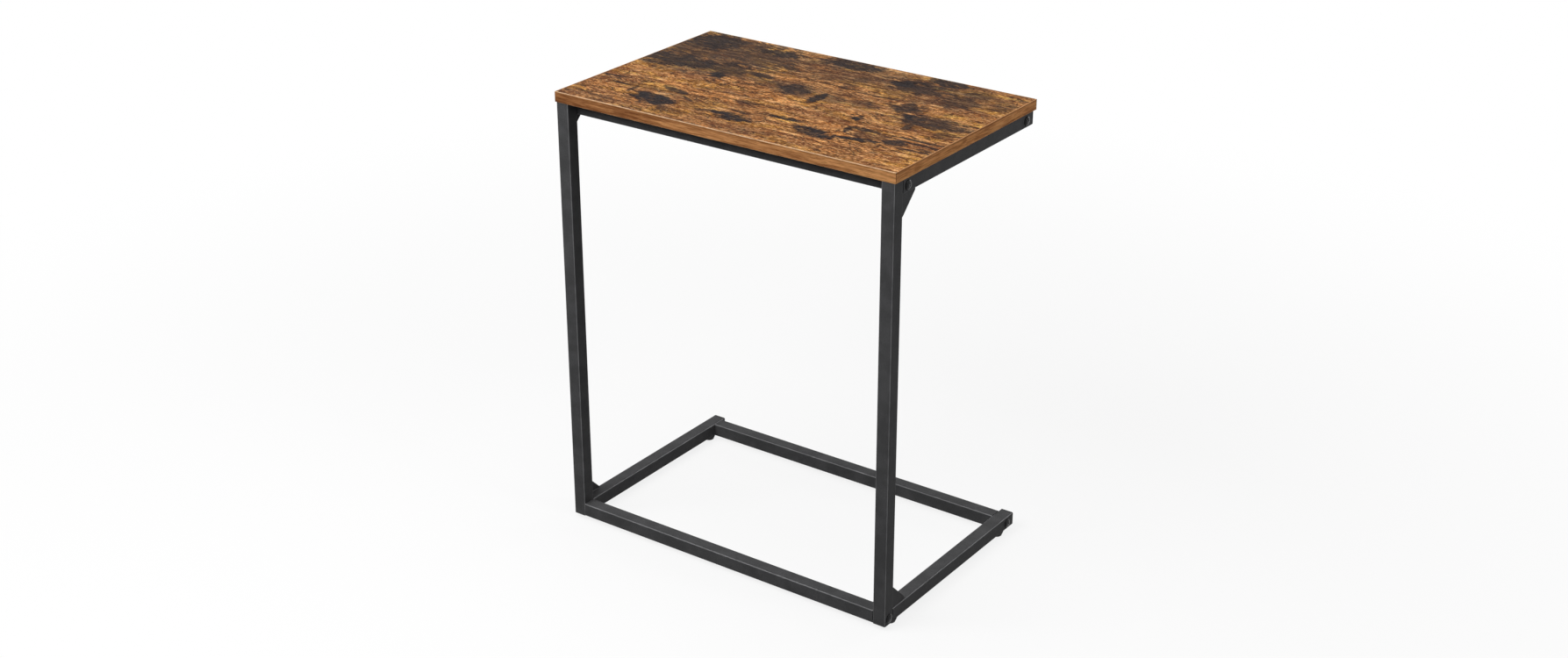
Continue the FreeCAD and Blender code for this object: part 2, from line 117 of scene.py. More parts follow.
class NodeGraph:
    """Adds nodes to one node tree and links them."""

    # The Mix node has sockets of several kinds, and these are its colour ones
    MIX_FIRST, MIX_SECOND, MIX_RESULT = 6, 7, 2

    def __init__(self, tree: bpy.types.NodeTree) -> None:
        """Keeps the tree that nodes are added to."""
        self.tree = tree

    def add(self, kind: str, **settings: object) -> bpy.types.Node:
        """Adds a shader node.

        Args:
            kind: The node's type, without its prefix.
            **settings: Properties to set on the node.

        Returns:
            The new node.
        """
        node = self.tree.nodes.new(f"ShaderNode{kind}")
        for name, setting in settings.items():
            setattr(node, name, setting)
        return node

    def feed(self, socket: Socket, entry: Entry) -> None:
        """Links another node's output to a socket, or sets the socket's own value.

        Args:
            socket: The input to feed.
            entry: An output socket or a plain value.
        """
        if isinstance(entry, bpy.types.NodeSocket):
            self.tree.links.new(entry, socket)
        else:
            socket.default_value = entry

    def math(self, operation: str, first: Entry, second: Entry = 0.0) -> Socket:
        """Adds a calculation with two values.

        Args:
            operation: The Math node's operation.
            first: The first value.
            second: The second value.

        Returns:
            The result.
        """
        node = self.add("Math", operation=operation)
        self.feed(node.inputs[0], first)
        self.feed(node.inputs[1], second)
        return node.outputs[0]

    def vector(self, operation: str, first: Entry, second: Entry = (0.0, 0.0, 0.0)) -> Socket:
        """Adds a calculation with two vectors.

        Args:
            operation: The Vector Math node's operation.
            first: The first vector.
            second: The second vector.

        Returns:
            The resulting vector.
        """
        node = self.add("VectorMath", operation=operation)
        self.feed(node.inputs[0], first)
        self.feed(node.inputs[1], second)
        return node.outputs["Vector"]

    def length(self, vector: Entry) -> Socket:
        """Adds the length of a vector.

        Args:
            vector: The vector.

        Returns:
            Its length.
        """
        node = self.add("VectorMath", operation="LENGTH")
        self.feed(node.inputs[0], vector)
        return node.outputs["Value"]

    def split(self, vector: Entry) -> bpy.types.NodeOutputs:
        """Splits a vector.

        Args:
            vector: The vector.

        Returns:
            Its X, Y and Z.
        """
        node = self.add("SeparateXYZ")
        self.feed(node.inputs[0], vector)
        return node.outputs

    def join(self, across: Entry, along: Entry, up: Entry) -> Socket:
        """Joins three values.

        Args:
            across: The value for X.
            along: The value for Y.
            up: The value for Z.

        Returns:
            The vector.
        """
        node = self.add("CombineXYZ")
        for socket, entry in zip(node.inputs, (across, along, up)):
            self.feed(socket, entry)
        return node.outputs[0]

    def noise(self, vector: Entry, scale: Entry, detail: float = 2.0, roughness: float = 0.5) -> Socket:
        """Adds a cloudy noise.

        Args:
            vector: Where the noise is read.
            scale: Its scale.
            detail: How many finer layers it has.
            roughness: How strong the finer layers are.

        Returns:
            The noise, about 0.5 on average.
        """
        node = self.add("TexNoise")
        self.feed(node.inputs["Vector"], vector)
        self.feed(node.inputs["Scale"], scale)
        node.inputs["Detail"].default_value = detail
        node.inputs["Roughness"].default_value = roughness
        return node.outputs[0]

    def drawn_out(self, position: Entry, layer: NoiseLayer) -> Socket:
        """Returns a noise that is drawn out along X, about 0.5 on average."""
        stretched = self.vector("MULTIPLY", position, (layer.along, layer.across, layer.across))
        return self.noise(stretched, 1.0, layer.detail, layer.roughness)

    def swing(self, noise: Entry, reach: float) -> Socket:
        """Returns a noise that swings about zero, by up to half of its reach each way."""
        return self.math("MULTIPLY", self.math("SUBTRACT", noise, NOISE_MIDDLE), reach)

    def weigh(self, start: Entry, *parts: tuple[Socket, float]) -> Socket:
        """Adds up values at their weights.

        Args:
            start: What the values are added to.
            *parts: The values, each with its weight.

        Returns:
            The sum.
        """
        total = start
        for part, weight in parts:
            total = self.math("ADD", total, self.math("MULTIPLY", part, weight))
        return total

    def step(self, value: Entry, low: Entry, high: Entry, start: Entry = 0.0, end: Entry = 1.0) -> Socket:
        """Adds a soft step.

        Args:
            value: The value that is read.
            low: Where the step starts.
            high: Where the step ends.
            start: The result below the step.
            end: The result above the step.

        Returns:
            The stepped value.
        """
        node = self.add("MapRange", interpolation_type="SMOOTHSTEP")
        names = ("Value", "From Min", "From Max", "To Min", "To Max")
        for name, entry in zip(names, (value, low, high, start, end)):
            self.feed(node.inputs[name], entry)
        return node.outputs[0]

    def mix(self, share: Entry, first: Entry, second: Entry, blend: str = "MIX") -> Socket:
        """Adds a mix of two colours.

        Args:
            share: How much of the second colour shows.
            first: The first colour.
            second: The second colour.
            blend: How the second colour acts on the first.

        Returns:
            The mixed colour.
        """
        node = self.add("Mix", data_type="RGBA", blend_type=blend)
        self.feed(node.inputs["Factor"], share)
        self.feed(node.inputs[self.MIX_FIRST], first)
        self.feed(node.inputs[self.MIX_SECOND], second)
        return node.outputs[self.MIX_RESULT]

    def tint(self, colour: Entry, mask: Entry, weight: Entry, other: Entry) -> Socket:
        """Returns a colour with another laid over it where a mask shows, at some weight."""
        return self.mix(self.math("MULTIPLY", mask, weight), colour, other)

    def brighten(self, colour: Entry, level: Socket) -> Socket:
        """Returns a colour that is made lighter or darker by a level about 1."""
        return self.mix(1.0, colour, self.join(level, level, level), "MULTIPLY")

    def blend(self, share: Entry, first: Socket, second: Socket) -> Socket:
        """Blends two shaders.

        Args:
            share: How much of the second shader shows.
            first: The first shader.
            second: The second shader.

        Returns:
            The blend.
        """
        node = self.add("MixShader")
        for socket, entry in zip(node.inputs, (share, first, second)):
            self.feed(socket, entry)
        return node.outputs[0]

    def ramp(self, value: Entry, stops: tuple[tuple[float, Colour], ...]) -> Socket:
        """Adds a colour ramp.

        Args:
            value: The value that picks the colour.
            stops: Places from 0 to 1 with their colours.

        Returns:
            The picked colour.
        """
        node = self.add("ValToRGB")
        elements = node.color_ramp.elements
        while len(elements) < len(stops):
            elements.new(1.0)
        for element, (place, colour) in zip(elements, stops):
            element.position = place
            element.color = colour
        self.feed(node.inputs[0], value)
        return node.outputs[0]

    def effect(self, tree: bpy.types.NodeTree, **entries: Entry) -> bpy.types.NodeOutputs:
        """Places a shared effect.

        Args:
            tree: The effect's node group.
            **entries: What feeds its inputs, named as they are, in lower case.

        Returns:
            The effect's outputs.
        """
        node = self.add("Group", node_tree=tree)
        for socket in node.inputs:
            if socket.name.lower() in entries:
                self.feed(socket, entries[socket.name.lower()])
        return node.outputs


class SocketKind(Enum):
    """The kinds of socket that a shared effect has."""

    VALUE = "NodeSocketFloat"
    VECTOR = "NodeSocketVector"


class EffectGroup:
    """A node group with named inputs and outputs, for an effect that is placed more than once."""

    def __init__(self, name: str, inputs: dict[str, SocketKind], outputs: tuple[str, ...]) -> None:
        """Starts the group.

        Args:
            name: The group's name.
            inputs: The names and kinds of its inputs.
            outputs: The names of its outputs, which are all values.
        """
        self.tree = bpy.data.node_groups.new(name, "ShaderNodeTree")
        for label, kind in inputs.items():
            self.tree.interface.new_socket(label, in_out="INPUT", socket_type=kind.value)
        for label in outputs:
            self.tree.interface.new_socket(label, in_out="OUTPUT", socket_type=SocketKind.VALUE.value)
        self.graph = NodeGraph(self.tree)
        self.entry = self.tree.nodes.new("NodeGroupInput").outputs
        self.exit = self.tree.nodes.new("NodeGroupOutput").inputs

    def put_out(self, **results: Socket) -> bpy.types.NodeTree:
        """Links the outputs.

        Args:
            **results: What the outputs give, named as they are, in lower case.

        Returns:
            The finished group.
        """
        for name, result in results.items():
            self.graph.feed(self.exit[name.capitalize()], result)
        return self.tree


# Shared effects

# A surface that slants less than this from a main direction counts as flat
FLAT_SLANT = 0.01
# Where a scorched mark starts to fade and where it ends, in shares of its half size
CHAR_SPAN: Span = (0.75, 1.15)
# How close together the slow changes in a coating lie
MOTTLE_SCALE = 38.0


@dataclass(frozen=True)
class Effects:
    """The shared effects, each built once."""

    corner: bpy.types.NodeTree
    grain: bpy.types.NodeTree
    char: bpy.types.NodeTree
    coating: bpy.types.NodeTree


def build_corner_effect() -> bpy.types.NodeTree:
    """Builds a mask of rounded and bevelled edges, where a surface faces between the main directions.

    Returns:
        The effect's node group.
    """
    group = EffectGroup("corner_mask", {"Reach": SocketKind.VALUE}, ("Mask",))
    graph = group.graph
    normal = graph.add("TexCoord").outputs["Normal"]
    across, along, up = graph.split(graph.vector("ABSOLUTE", normal))
    main = graph.math("MAXIMUM", graph.math("MAXIMUM", across, along), up)
    slant = graph.math("SUBTRACT", 1.0, main)
    return group.put_out(mask=graph.step(slant, FLAT_SLANT, group.entry["Reach"]))


@dataclass(frozen=True)
class WoodGrain:
    """A wood grain along X, bent by three sways: noises for colour, cracks, saw marks, specks and pores."""

    drift: NoiseLayer = NoiseLayer(9.0, 20.0)
    drift_reach: float = 0.03
    ripple: NoiseLayer = NoiseLayer(48.0, 60.0)
    ripple_reach: float = 0.005
    wrinkle: NoiseLayer = NoiseLayer(150.0, 150.0)
    wrinkle_reach: float = 0.0008

    streaks: NoiseLayer = NoiseLayer(20.0, 120.0, 5.0, 0.62)
    bands: NoiseLayer = NoiseLayer(62.0, 260.0, 3.0, 0.6)
    fibres: NoiseLayer = NoiseLayer(140.0, 700.0, 3.0, 0.6)
    tone: NoiseLayer = NoiseLayer(11.0, 30.0, 4.0, 0.6)
    cast: NoiseLayer = NoiseLayer(14.0, 44.0, 3.0, 0.6)
    saw: NoiseLayer = NoiseLayer(420.0, 40.0)

    lines: NoiseLayer = NoiseLayer(22.0, 70.0, 3.0, 0.55)
    line_span: Span = (0.008, 0.030)
    breaks: NoiseLayer = NoiseLayer(26.0, 45.0)
    break_span: Span = (0.42, 0.52)
    specks: NoiseLayer = NoiseLayer(150.0, 400.0, 3.0, 0.65)
    fleck_span: Span = (0.52, 0.63)
    glint_span: Span = (0.36, 0.48)
    pores: NoiseLayer = NoiseLayer(120.0, 1900.0)
    pore_span: Span = (0.54, 0.66)

    def build(self) -> bpy.types.NodeTree:
        """Builds the shared effect.

        Returns:
            The effect's node group.
        """
        group = EffectGroup(
            "wood_grain",
            {"Position": SocketKind.VECTOR},
            ("Streaks", "Bands", "Fibres", "Tone", "Cast", "Cracks", "Saw", "Flecks", "Glints", "Pores"),
        )
        graph = group.graph
        position = group.entry["Position"]
        sways = (
            (self.drift, self.drift_reach),
            (self.ripple, self.ripple_reach),
            (self.wrinkle, self.wrinkle_reach),
        )
        sway: Entry = 0.0
        for layer, reach in sways:
            sway = graph.math("ADD", sway, graph.swing(graph.drawn_out(position, layer), reach))
        bent = graph.vector("ADD", position, graph.join(0.0, sway, 0.0))
        ridge = graph.math("SUBTRACT", graph.drawn_out(bent, self.lines), NOISE_MIDDLE)
        line = graph.step(graph.math("ABSOLUTE", ridge), *self.line_span, 1.0, 0.0)
        kept = graph.step(graph.drawn_out(bent, self.breaks), *self.break_span)
        specks = graph.drawn_out(bent, self.specks)
        return group.put_out(
            streaks=graph.drawn_out(bent, self.streaks),
            bands=graph.drawn_out(bent, self.bands),
            fibres=graph.drawn_out(bent, self.fibres),
            tone=graph.drawn_out(bent, self.tone),
            cast=graph.drawn_out(bent, self.cast),
            cracks=graph.math("MULTIPLY", line, kept),
            saw=graph.drawn_out(position, self.saw),
            flecks=graph.step(specks, *self.fleck_span),
            glints=graph.step(specks, *self.glint_span, 1.0, 0.0),
            pores=graph.step(graph.drawn_out(bent, self.pores), *self.pore_span),
        )


def build_char_effect() -> bpy.types.NodeTree:
    """Builds one scorched mark: a soft oval with a ragged edge.

    Returns:
        The effect's node group.
    """
    group = EffectGroup(
        "scorched_mark",
        {
            "Position": SocketKind.VECTOR,
            "Raggedness": SocketKind.VALUE,
            "Centre": SocketKind.VECTOR,
            "Reach": SocketKind.VECTOR,
            "Tilt": SocketKind.VALUE,
            "Depth": SocketKind.VALUE,
        },
        ("Mask",),
    )
    graph = group.graph
    offset = graph.vector("SUBTRACT", group.entry["Position"], group.entry["Centre"])
    turn = graph.add("VectorRotate", rotation_type="Z_AXIS")
    graph.feed(turn.inputs["Vector"], offset)
    graph.feed(turn.inputs["Angle"], graph.math("MULTIPLY", group.entry["Tilt"], -1.0))
    distance = graph.length(graph.vector("DIVIDE", turn.outputs[0], group.entry["Reach"]))
    ragged = graph.math("ADD", distance, group.entry["Raggedness"])
    oval = graph.step(ragged, *CHAR_SPAN, 1.0, 0.0)
    return group.put_out(mask=graph.math("MULTIPLY", oval, group.entry["Depth"]))


def build_coating_effect() -> bpy.types.NodeTree:
    """Builds the fine texture of a sprayed or moulded surface, with slow changes of tone.

    Returns:
        The effect's node group.
    """
    group = EffectGroup("coating", {"Grain": SocketKind.VALUE}, ("Mottle", "Grit"))
    graph = group.graph
    position = graph.add("TexCoord").outputs["Object"]
    mottle = graph.noise(position, MOTTLE_SCALE, detail=3.0)
    grit = graph.noise(position, group.entry["Grain"], roughness=0.6)
    return group.put_out(mottle=mottle, grit=grit)


# Finishes
def fresh_graph(owner: bpy.types.Material | bpy.types.World) -> NodeGraph:
    """Empties the node tree of a material or a world.

    Args:
        owner: The material or the world.

    Returns:
        Its graph.
    """
    owner.use_nodes = True
    owner.node_tree.nodes.clear()
    return NodeGraph(owner.node_tree)


def new_material(name: str) -> tuple[bpy.types.Material, NodeGraph, bpy.types.Node]:
    """Starts a material.

    Args:
        name: The material's name.

    Returns:
        The material, its graph and its shader.
    """
    material = bpy.data.materials.new(name)
    graph = fresh_graph(material)
    shader = graph.add("BsdfPrincipled")
    output = graph.add("OutputMaterial")
    graph.feed(output.inputs["Surface"], shader.outputs["BSDF"])
    return material, graph, shader


def add_bump(graph: NodeGraph, shader: bpy.types.Node, height: Socket, depth: float) -> None:
    """Roughens a shader's surface.

    Args:
        graph: The material's graph.
        shader: The material's shader.
        height: The relief, from 0 to 1.
        depth: How deep the relief is, in metres.
    """
    bump = graph.add("Bump")
    bump.inputs["Distance"].default_value = depth
    graph.feed(bump.inputs["Height"], height)
    graph.feed(shader.inputs["Normal"], bump.outputs["Normal"])


@dataclass(frozen=True)
class ScorchedMark:
    """One dark mark on the board: its middle, half length, half width, depth and tilt in degrees."""

    x: float
    y: float
    half_length: float
    half_width: float
    depth: float
    tilt: float = 0.0


def make_marks(*rows: tuple[float, ...]) -> tuple[ScorchedMark, ...]:
    """Returns a mark for each row of x, y, half length, half width, depth and any tilt."""
    return tuple(ScorchedMark(*row) for row in rows)


REAR_MARKS = make_marks(
    (-0.230, 0.136, 0.042, 0.038, 0.90),
    (-0.120, 0.139, 0.042, 0.013, 0.85),
    (-0.010, 0.156, 0.050, 0.021, 0.95),
    (0.120, 0.125, 0.050, 0.030, 0.85),
    (0.093, 0.125, 0.021, 0.015, 1.00),
    (0.146, 0.164, 0.034, 0.018, 0.95),
    (0.200, 0.102, 0.030, 0.025, 0.70),
    (0.205, 0.140, 0.026, 0.012, 0.65),
    (0.260, 0.117, 0.015, 0.014, 0.60),
    (0.037, 0.107, 0.013, 0.012, 0.55),
)
MIDDLE_MARKS = make_marks(
    (-0.220, 0.037, 0.062, 0.026, 0.90),
    (-0.140, 0.045, 0.032, 0.030, 0.70),
    (-0.093, 0.044, 0.029, 0.009, 0.80),
    (-0.139, 0.010, 0.015, 0.011, 1.00),
    (-0.245, 0.008, 0.032, 0.007, 0.75),
    (-0.013, 0.020, 0.026, 0.025, 0.90),
    (0.033, 0.008, 0.010, 0.027, 1.00),
    (0.054, 0.016, 0.022, 0.014, 0.50),
    (0.098, 0.020, 0.026, 0.015, 0.50),
    (0.155, 0.040, 0.024, 0.023, 0.90),
    (0.215, 0.007, 0.058, 0.023, 0.90),
    (0.185, 0.010, 0.022, 0.013, 1.00),
    (0.123, -0.030, 0.008, 0.011, 1.00),
    (0.195, -0.022, 0.006, 0.016, 0.85),
    (0.255, -0.025, 0.021, 0.013, 0.60),
)
FRONT_MARKS = make_marks(
    (-0.147, -0.075, 0.029, 0.007, 0.90, -15.0),
    (-0.146, -0.122, 0.040, 0.020, 1.00, -10.0),
    (-0.196, -0.102, 0.004, 0.013, 0.85),
    (-0.110, -0.095, 0.018, 0.003, 0.80, -25.0),
    (-0.030, -0.065, 0.027, 0.009, 0.60),
    (-0.020, -0.120, 0.035, 0.013, 1.00, -8.0),
    (-0.057, -0.119, 0.016, 0.004, 0.75, 20.0),
    (0.047, -0.087, 0.030, 0.005, 1.00),
    (0.103, -0.110, 0.035, 0.013, 1.00, -15.0),
    (0.155, -0.064, 0.025, 0.007, 0.95),
    (0.168, -0.100, 0.038, 0.006, 1.00, 12.0),
    (0.175, -0.080, 0.028, 0.018, 0.55),
    (0.213, -0.085, 0.019, 0.010, 0.95),
    (0.262, -0.088, 0.014, 0.005, 0.65),
)
CRACK_LINES = make_marks(
    (-0.252, -0.072, 0.024, 0.0032, 0.90, 5.0),
    (-0.225, -0.094, 0.024, 0.0028, 0.85, -5.0),
    (-0.075, -0.043, 0.050, 0.0022, 0.70, 2.0),
    (-0.018, -0.100, 0.022, 0.0030, 0.90, -10.0),
    (0.235, -0.062, 0.046, 0.0030, 0.95),
    (0.235, -0.073, 0.046, 0.0030, 0.95, -1.0),
    (0.245, -0.096, 0.034, 0.0030, 0.90, 2.0),
    (0.136, -0.075, 0.005, 0.0110, 0.95, 20.0),
    (0.137, -0.112, 0.004, 0.0140, 0.95, 8.0),
    (0.035, 0.066, 0.060, 0.0022, 0.70, -2.0),
    (0.100, 0.060, 0.050, 0.0028, 0.80, 1.0),
    (-0.060, 0.072, 0.070, 0.0022, 0.70, -3.0),
)
STAINS = make_marks(
    (-0.195, 0.110, 0.140, 0.072, 0.86),
    (-0.200, 0.035, 0.138, 0.042, 0.72),
    (0.150, 0.120, 0.125, 0.060, 0.48),
    (0.205, 0.000, 0.110, 0.040, 0.16),
    (0.005, 0.025, 0.110, 0.030, 0.45),
    (-0.010, 0.125, 0.150, 0.055, 0.55),
    (-0.085, -0.095, 0.125, 0.025, 0.25),
    (-0.110, -0.158, 0.190, 0.026, 0.30),
)
SCORCHES = REAR_MARKS + MIDDLE_MARKS + FRONT_MARKS + CRACK_LINES


@dataclass(frozen=True)
class PlankFinish:
    """The board's finish: rustic brown planks with scorched marks, and a plain backing underneath."""

    effects: Effects
    plank_width: float = 0.0645
    plank_shift: float = 0.002
    plank_offset: float = 3.0
    seam_span: Span = (0.482, 0.497)

    deep: Colour = shade(86, 50, 29)
    middle: Colour = shade(168, 111, 62)
    light: Colour = shade(214, 152, 91)
    pale: Colour = shade(248, 199, 138)
    red: Colour = shade(118, 70, 42)
    pore: Colour = shade(48, 26, 15)
    crack: Colour = shade(26, 17, 13)
    smoke: Colour = shade(52, 40, 34)
    scorched: Colour = shade(48, 42, 42)
    soot: Colour = shade(14, 12, 13)
    backing: Colour = shade(74, 55, 42)
    reddish_cast: Colour = (1.04, 0.925, 0.74, 1.0)
    dusty_cast: Colour = (0.99, 0.975, 0.98, 1.0)
    golden_cast: Colour = (1.02, 1.03, 0.62, 1.0)

    streak_weight: float = 0.50
    band_weight: float = 0.26
    fibre_weight: float = 0.24
    plank_weight: float = 0.05
    colour_stops: tuple[float, ...] = (0.435, 0.50, 0.555, 0.635)
    red_span: Span = (0.38, 0.54)
    red_share: float = 0.72
    reddish_span: Span = (0.38, 0.48)
    golden_span: Span = (0.50, 0.60)
    fleck_share: float = 0.72
    glint_share: float = 0.44
    pore_share: float = 0.75
    seam_share: float = 0.35
    crack_share: float = 0.8

    rough_edge: NoiseLayer = NoiseLayer(42.0, 95.0, 6.0, 0.72)
    rough_edge_reach: float = 1.9
    band_reach: float = 0.9
    stain_span: Span = (0.48, 0.68)
    stain_left: float = 0.7
    scorch_span: Span = (0.50, 0.68)
    scorch_left: float = 0.72

    grit_scale: float = 330.0
    grit_roughness: float = 0.6
    grit_range: Span = (0.72, 1.28)
    saw_range: Span = (0.90, 1.10)
    underside_span: Span = (-0.6, -0.4)
    dull_span: Span = (0.35, 0.65)
    dull_range: Span = (0.58, 0.46)
    scorch_dullness: float = 0.12
    relief: float = 0.00025
    crack_relief: float = 0.8
    specular: float = 0.03

    def planks(self, graph: NodeGraph, position: Socket) -> tuple[Socket, Socket]:
        """Divides the board into rows of planks.

        Args:
            graph: The material's graph.
            position: Where the pattern is read.

        Returns:
            A value that differs from plank to plank, and a mask of the seams between them.
        """
        along = graph.split(position)["Y"]
        rows = graph.math("DIVIDE", graph.math("SUBTRACT", along, self.plank_shift), self.plank_width)
        pick = graph.add("TexWhiteNoise", noise_dimensions="1D")
        graph.feed(pick.inputs["W"], graph.math("FLOOR", rows))
        from_middle = graph.math("ABSOLUTE", graph.math("SUBTRACT", graph.math("FRACT", rows), 0.5))
        return pick.outputs["Value"], graph.step(from_middle, *self.seam_span)

    def wood(self, graph: NodeGraph, grain: bpy.types.NodeOutputs, plank: Socket, seam: Socket) -> Socket:
        """Colours the bare wood.

        Args:
            graph: The material's graph.
            grain: The grain's outputs.
            plank: A value that differs from plank to plank.
            seam: A mask of the seams between planks.

        Returns:
            The wood's colour, without its marks.
        """
        blended = graph.weigh(
            0.0,
            (grain["Streaks"], self.streak_weight),
            (grain["Bands"], self.band_weight),
            (grain["Fibres"], self.fibre_weight),
            (plank, self.plank_weight),
        )
        shades = (self.deep, self.middle, self.light, self.pale)
        colour = graph.ramp(blended, tuple(zip(self.colour_stops, shades)))
        colour = graph.mix(graph.step(grain["Tone"], *self.red_span, self.red_share, 0.0), colour, self.red)
        cast = graph.mix(graph.step(grain["Cast"], *self.reddish_span), self.reddish_cast, self.dusty_cast)
        cast = graph.mix(graph.step(grain["Cast"], *self.golden_span), cast, self.golden_cast)
        colour = graph.mix(1.0, colour, cast, "MULTIPLY")
        for mask, share, tint in (
            (grain["Flecks"], self.fleck_share, self.deep),
            (grain["Glints"], self.glint_share, self.pale),
            (grain["Pores"], self.pore_share, self.pore),
            (seam, self.seam_share, self.crack),
            (grain["Cracks"], self.crack_share, self.crack),
        ):
            colour = graph.tint(colour, mask, share, tint)
        return colour

    def lay_marks(
        self, graph: NodeGraph, position: Socket, marks: tuple[ScorchedMark, ...], ragged: Socket,
    ) -> Socket:
        """Lays scorched marks over each other.

        Args:
            graph: The material's graph.
            position: Where the pattern is read.
            marks: The marks.
            ragged: A noise that breaks up their edges.

        Returns:
            A mask of all the marks.
        """
        total: Entry = 0.0
        for mark in marks:
            one = graph.effect(
                self.effects.char,
                position=position,
                raggedness=ragged,
                centre=(mark.x, mark.y, 0.0),
                reach=(mark.half_length, mark.half_width, 1.0),
                tilt=math.radians(mark.tilt),
                depth=mark.depth,
            )
            total = graph.math("MAXIMUM", total, one["Mask"])
        return total

    def burn(
        self, graph: NodeGraph, grain: bpy.types.NodeOutputs, flat: Socket, colour: Socket,
    ) -> tuple[Socket, Socket]:
        """Stains and scorches the wood.

        Args:
            graph: The material's graph.
            grain: The grain's outputs.
            flat: Where the marks are read, in plan.
            colour: The bare wood's colour.

        Returns:
            The wood's colour with its marks, and a mask of the scorched ones.
        """
        ragged = graph.swing(graph.drawn_out(flat, self.rough_edge), self.rough_edge_reach)
        ragged = graph.math("ADD", ragged, graph.swing(grain["Bands"], self.band_reach))
        stain = self.lay_marks(graph, flat, STAINS, ragged)
        stain_depth = graph.step(grain["Bands"], *self.stain_span, 1.0, self.stain_left)
        colour = graph.tint(colour, stain, stain_depth, self.smoke)
        scorch = self.lay_marks(graph, flat, SCORCHES, ragged)
        scorch_depth = graph.step(grain["Bands"], *self.scorch_span, 1.0, self.scorch_left)
        burnt = graph.mix(graph.step(grain["Flecks"], 0.0, 1.0), self.scorched, self.soot)
        return graph.tint(colour, scorch, scorch_depth, burnt), scorch

    def build(self) -> bpy.types.Material:
        """Builds the material.

        Returns:
            The finished material.
        """
        material, graph, shader = new_material("plank_board")
        texture = graph.add("TexCoord")
        position = texture.outputs["Object"]
        across, along, _ = graph.split(position)
        flat = graph.join(across, along, 0.0)
        plank, seam = self.planks(graph, position)
        shift = graph.join(graph.math("MULTIPLY", plank, self.plank_offset), 0.0, plank)
        grain = graph.effect(self.effects.grain, position=graph.vector("ADD", flat, shift))
        colour = self.wood(graph, grain, plank, seam)
        colour, scorch = self.burn(graph, grain, flat, colour)

        grit = graph.noise(flat, self.grit_scale, roughness=self.grit_roughness)
        grit = graph.step(grit, *NOISE_SPAN, *self.grit_range)
        saw = graph.step(grain["Saw"], *NOISE_SPAN, *self.saw_range)
        colour = graph.brighten(colour, graph.math("MULTIPLY", saw, grit))
        facing_up = graph.split(texture.outputs["Normal"])["Z"]
        underneath = graph.step(facing_up, *self.underside_span, 1.0, 0.0)
        graph.feed(shader.inputs["Base Color"], graph.mix(underneath, colour, self.backing))

        dull = graph.step(grain["Streaks"], *self.dull_span, *self.dull_range)
        graph.feed(shader.inputs["Roughness"], graph.weigh(dull, (scorch, self.scorch_dullness)))
        height = graph.weigh(grain["Fibres"], (grain["Cracks"], -self.crack_relief))
        add_bump(graph, shader, height, self.relief)
        shader.inputs["Specular IOR Level"].default_value = self.specular
        return material


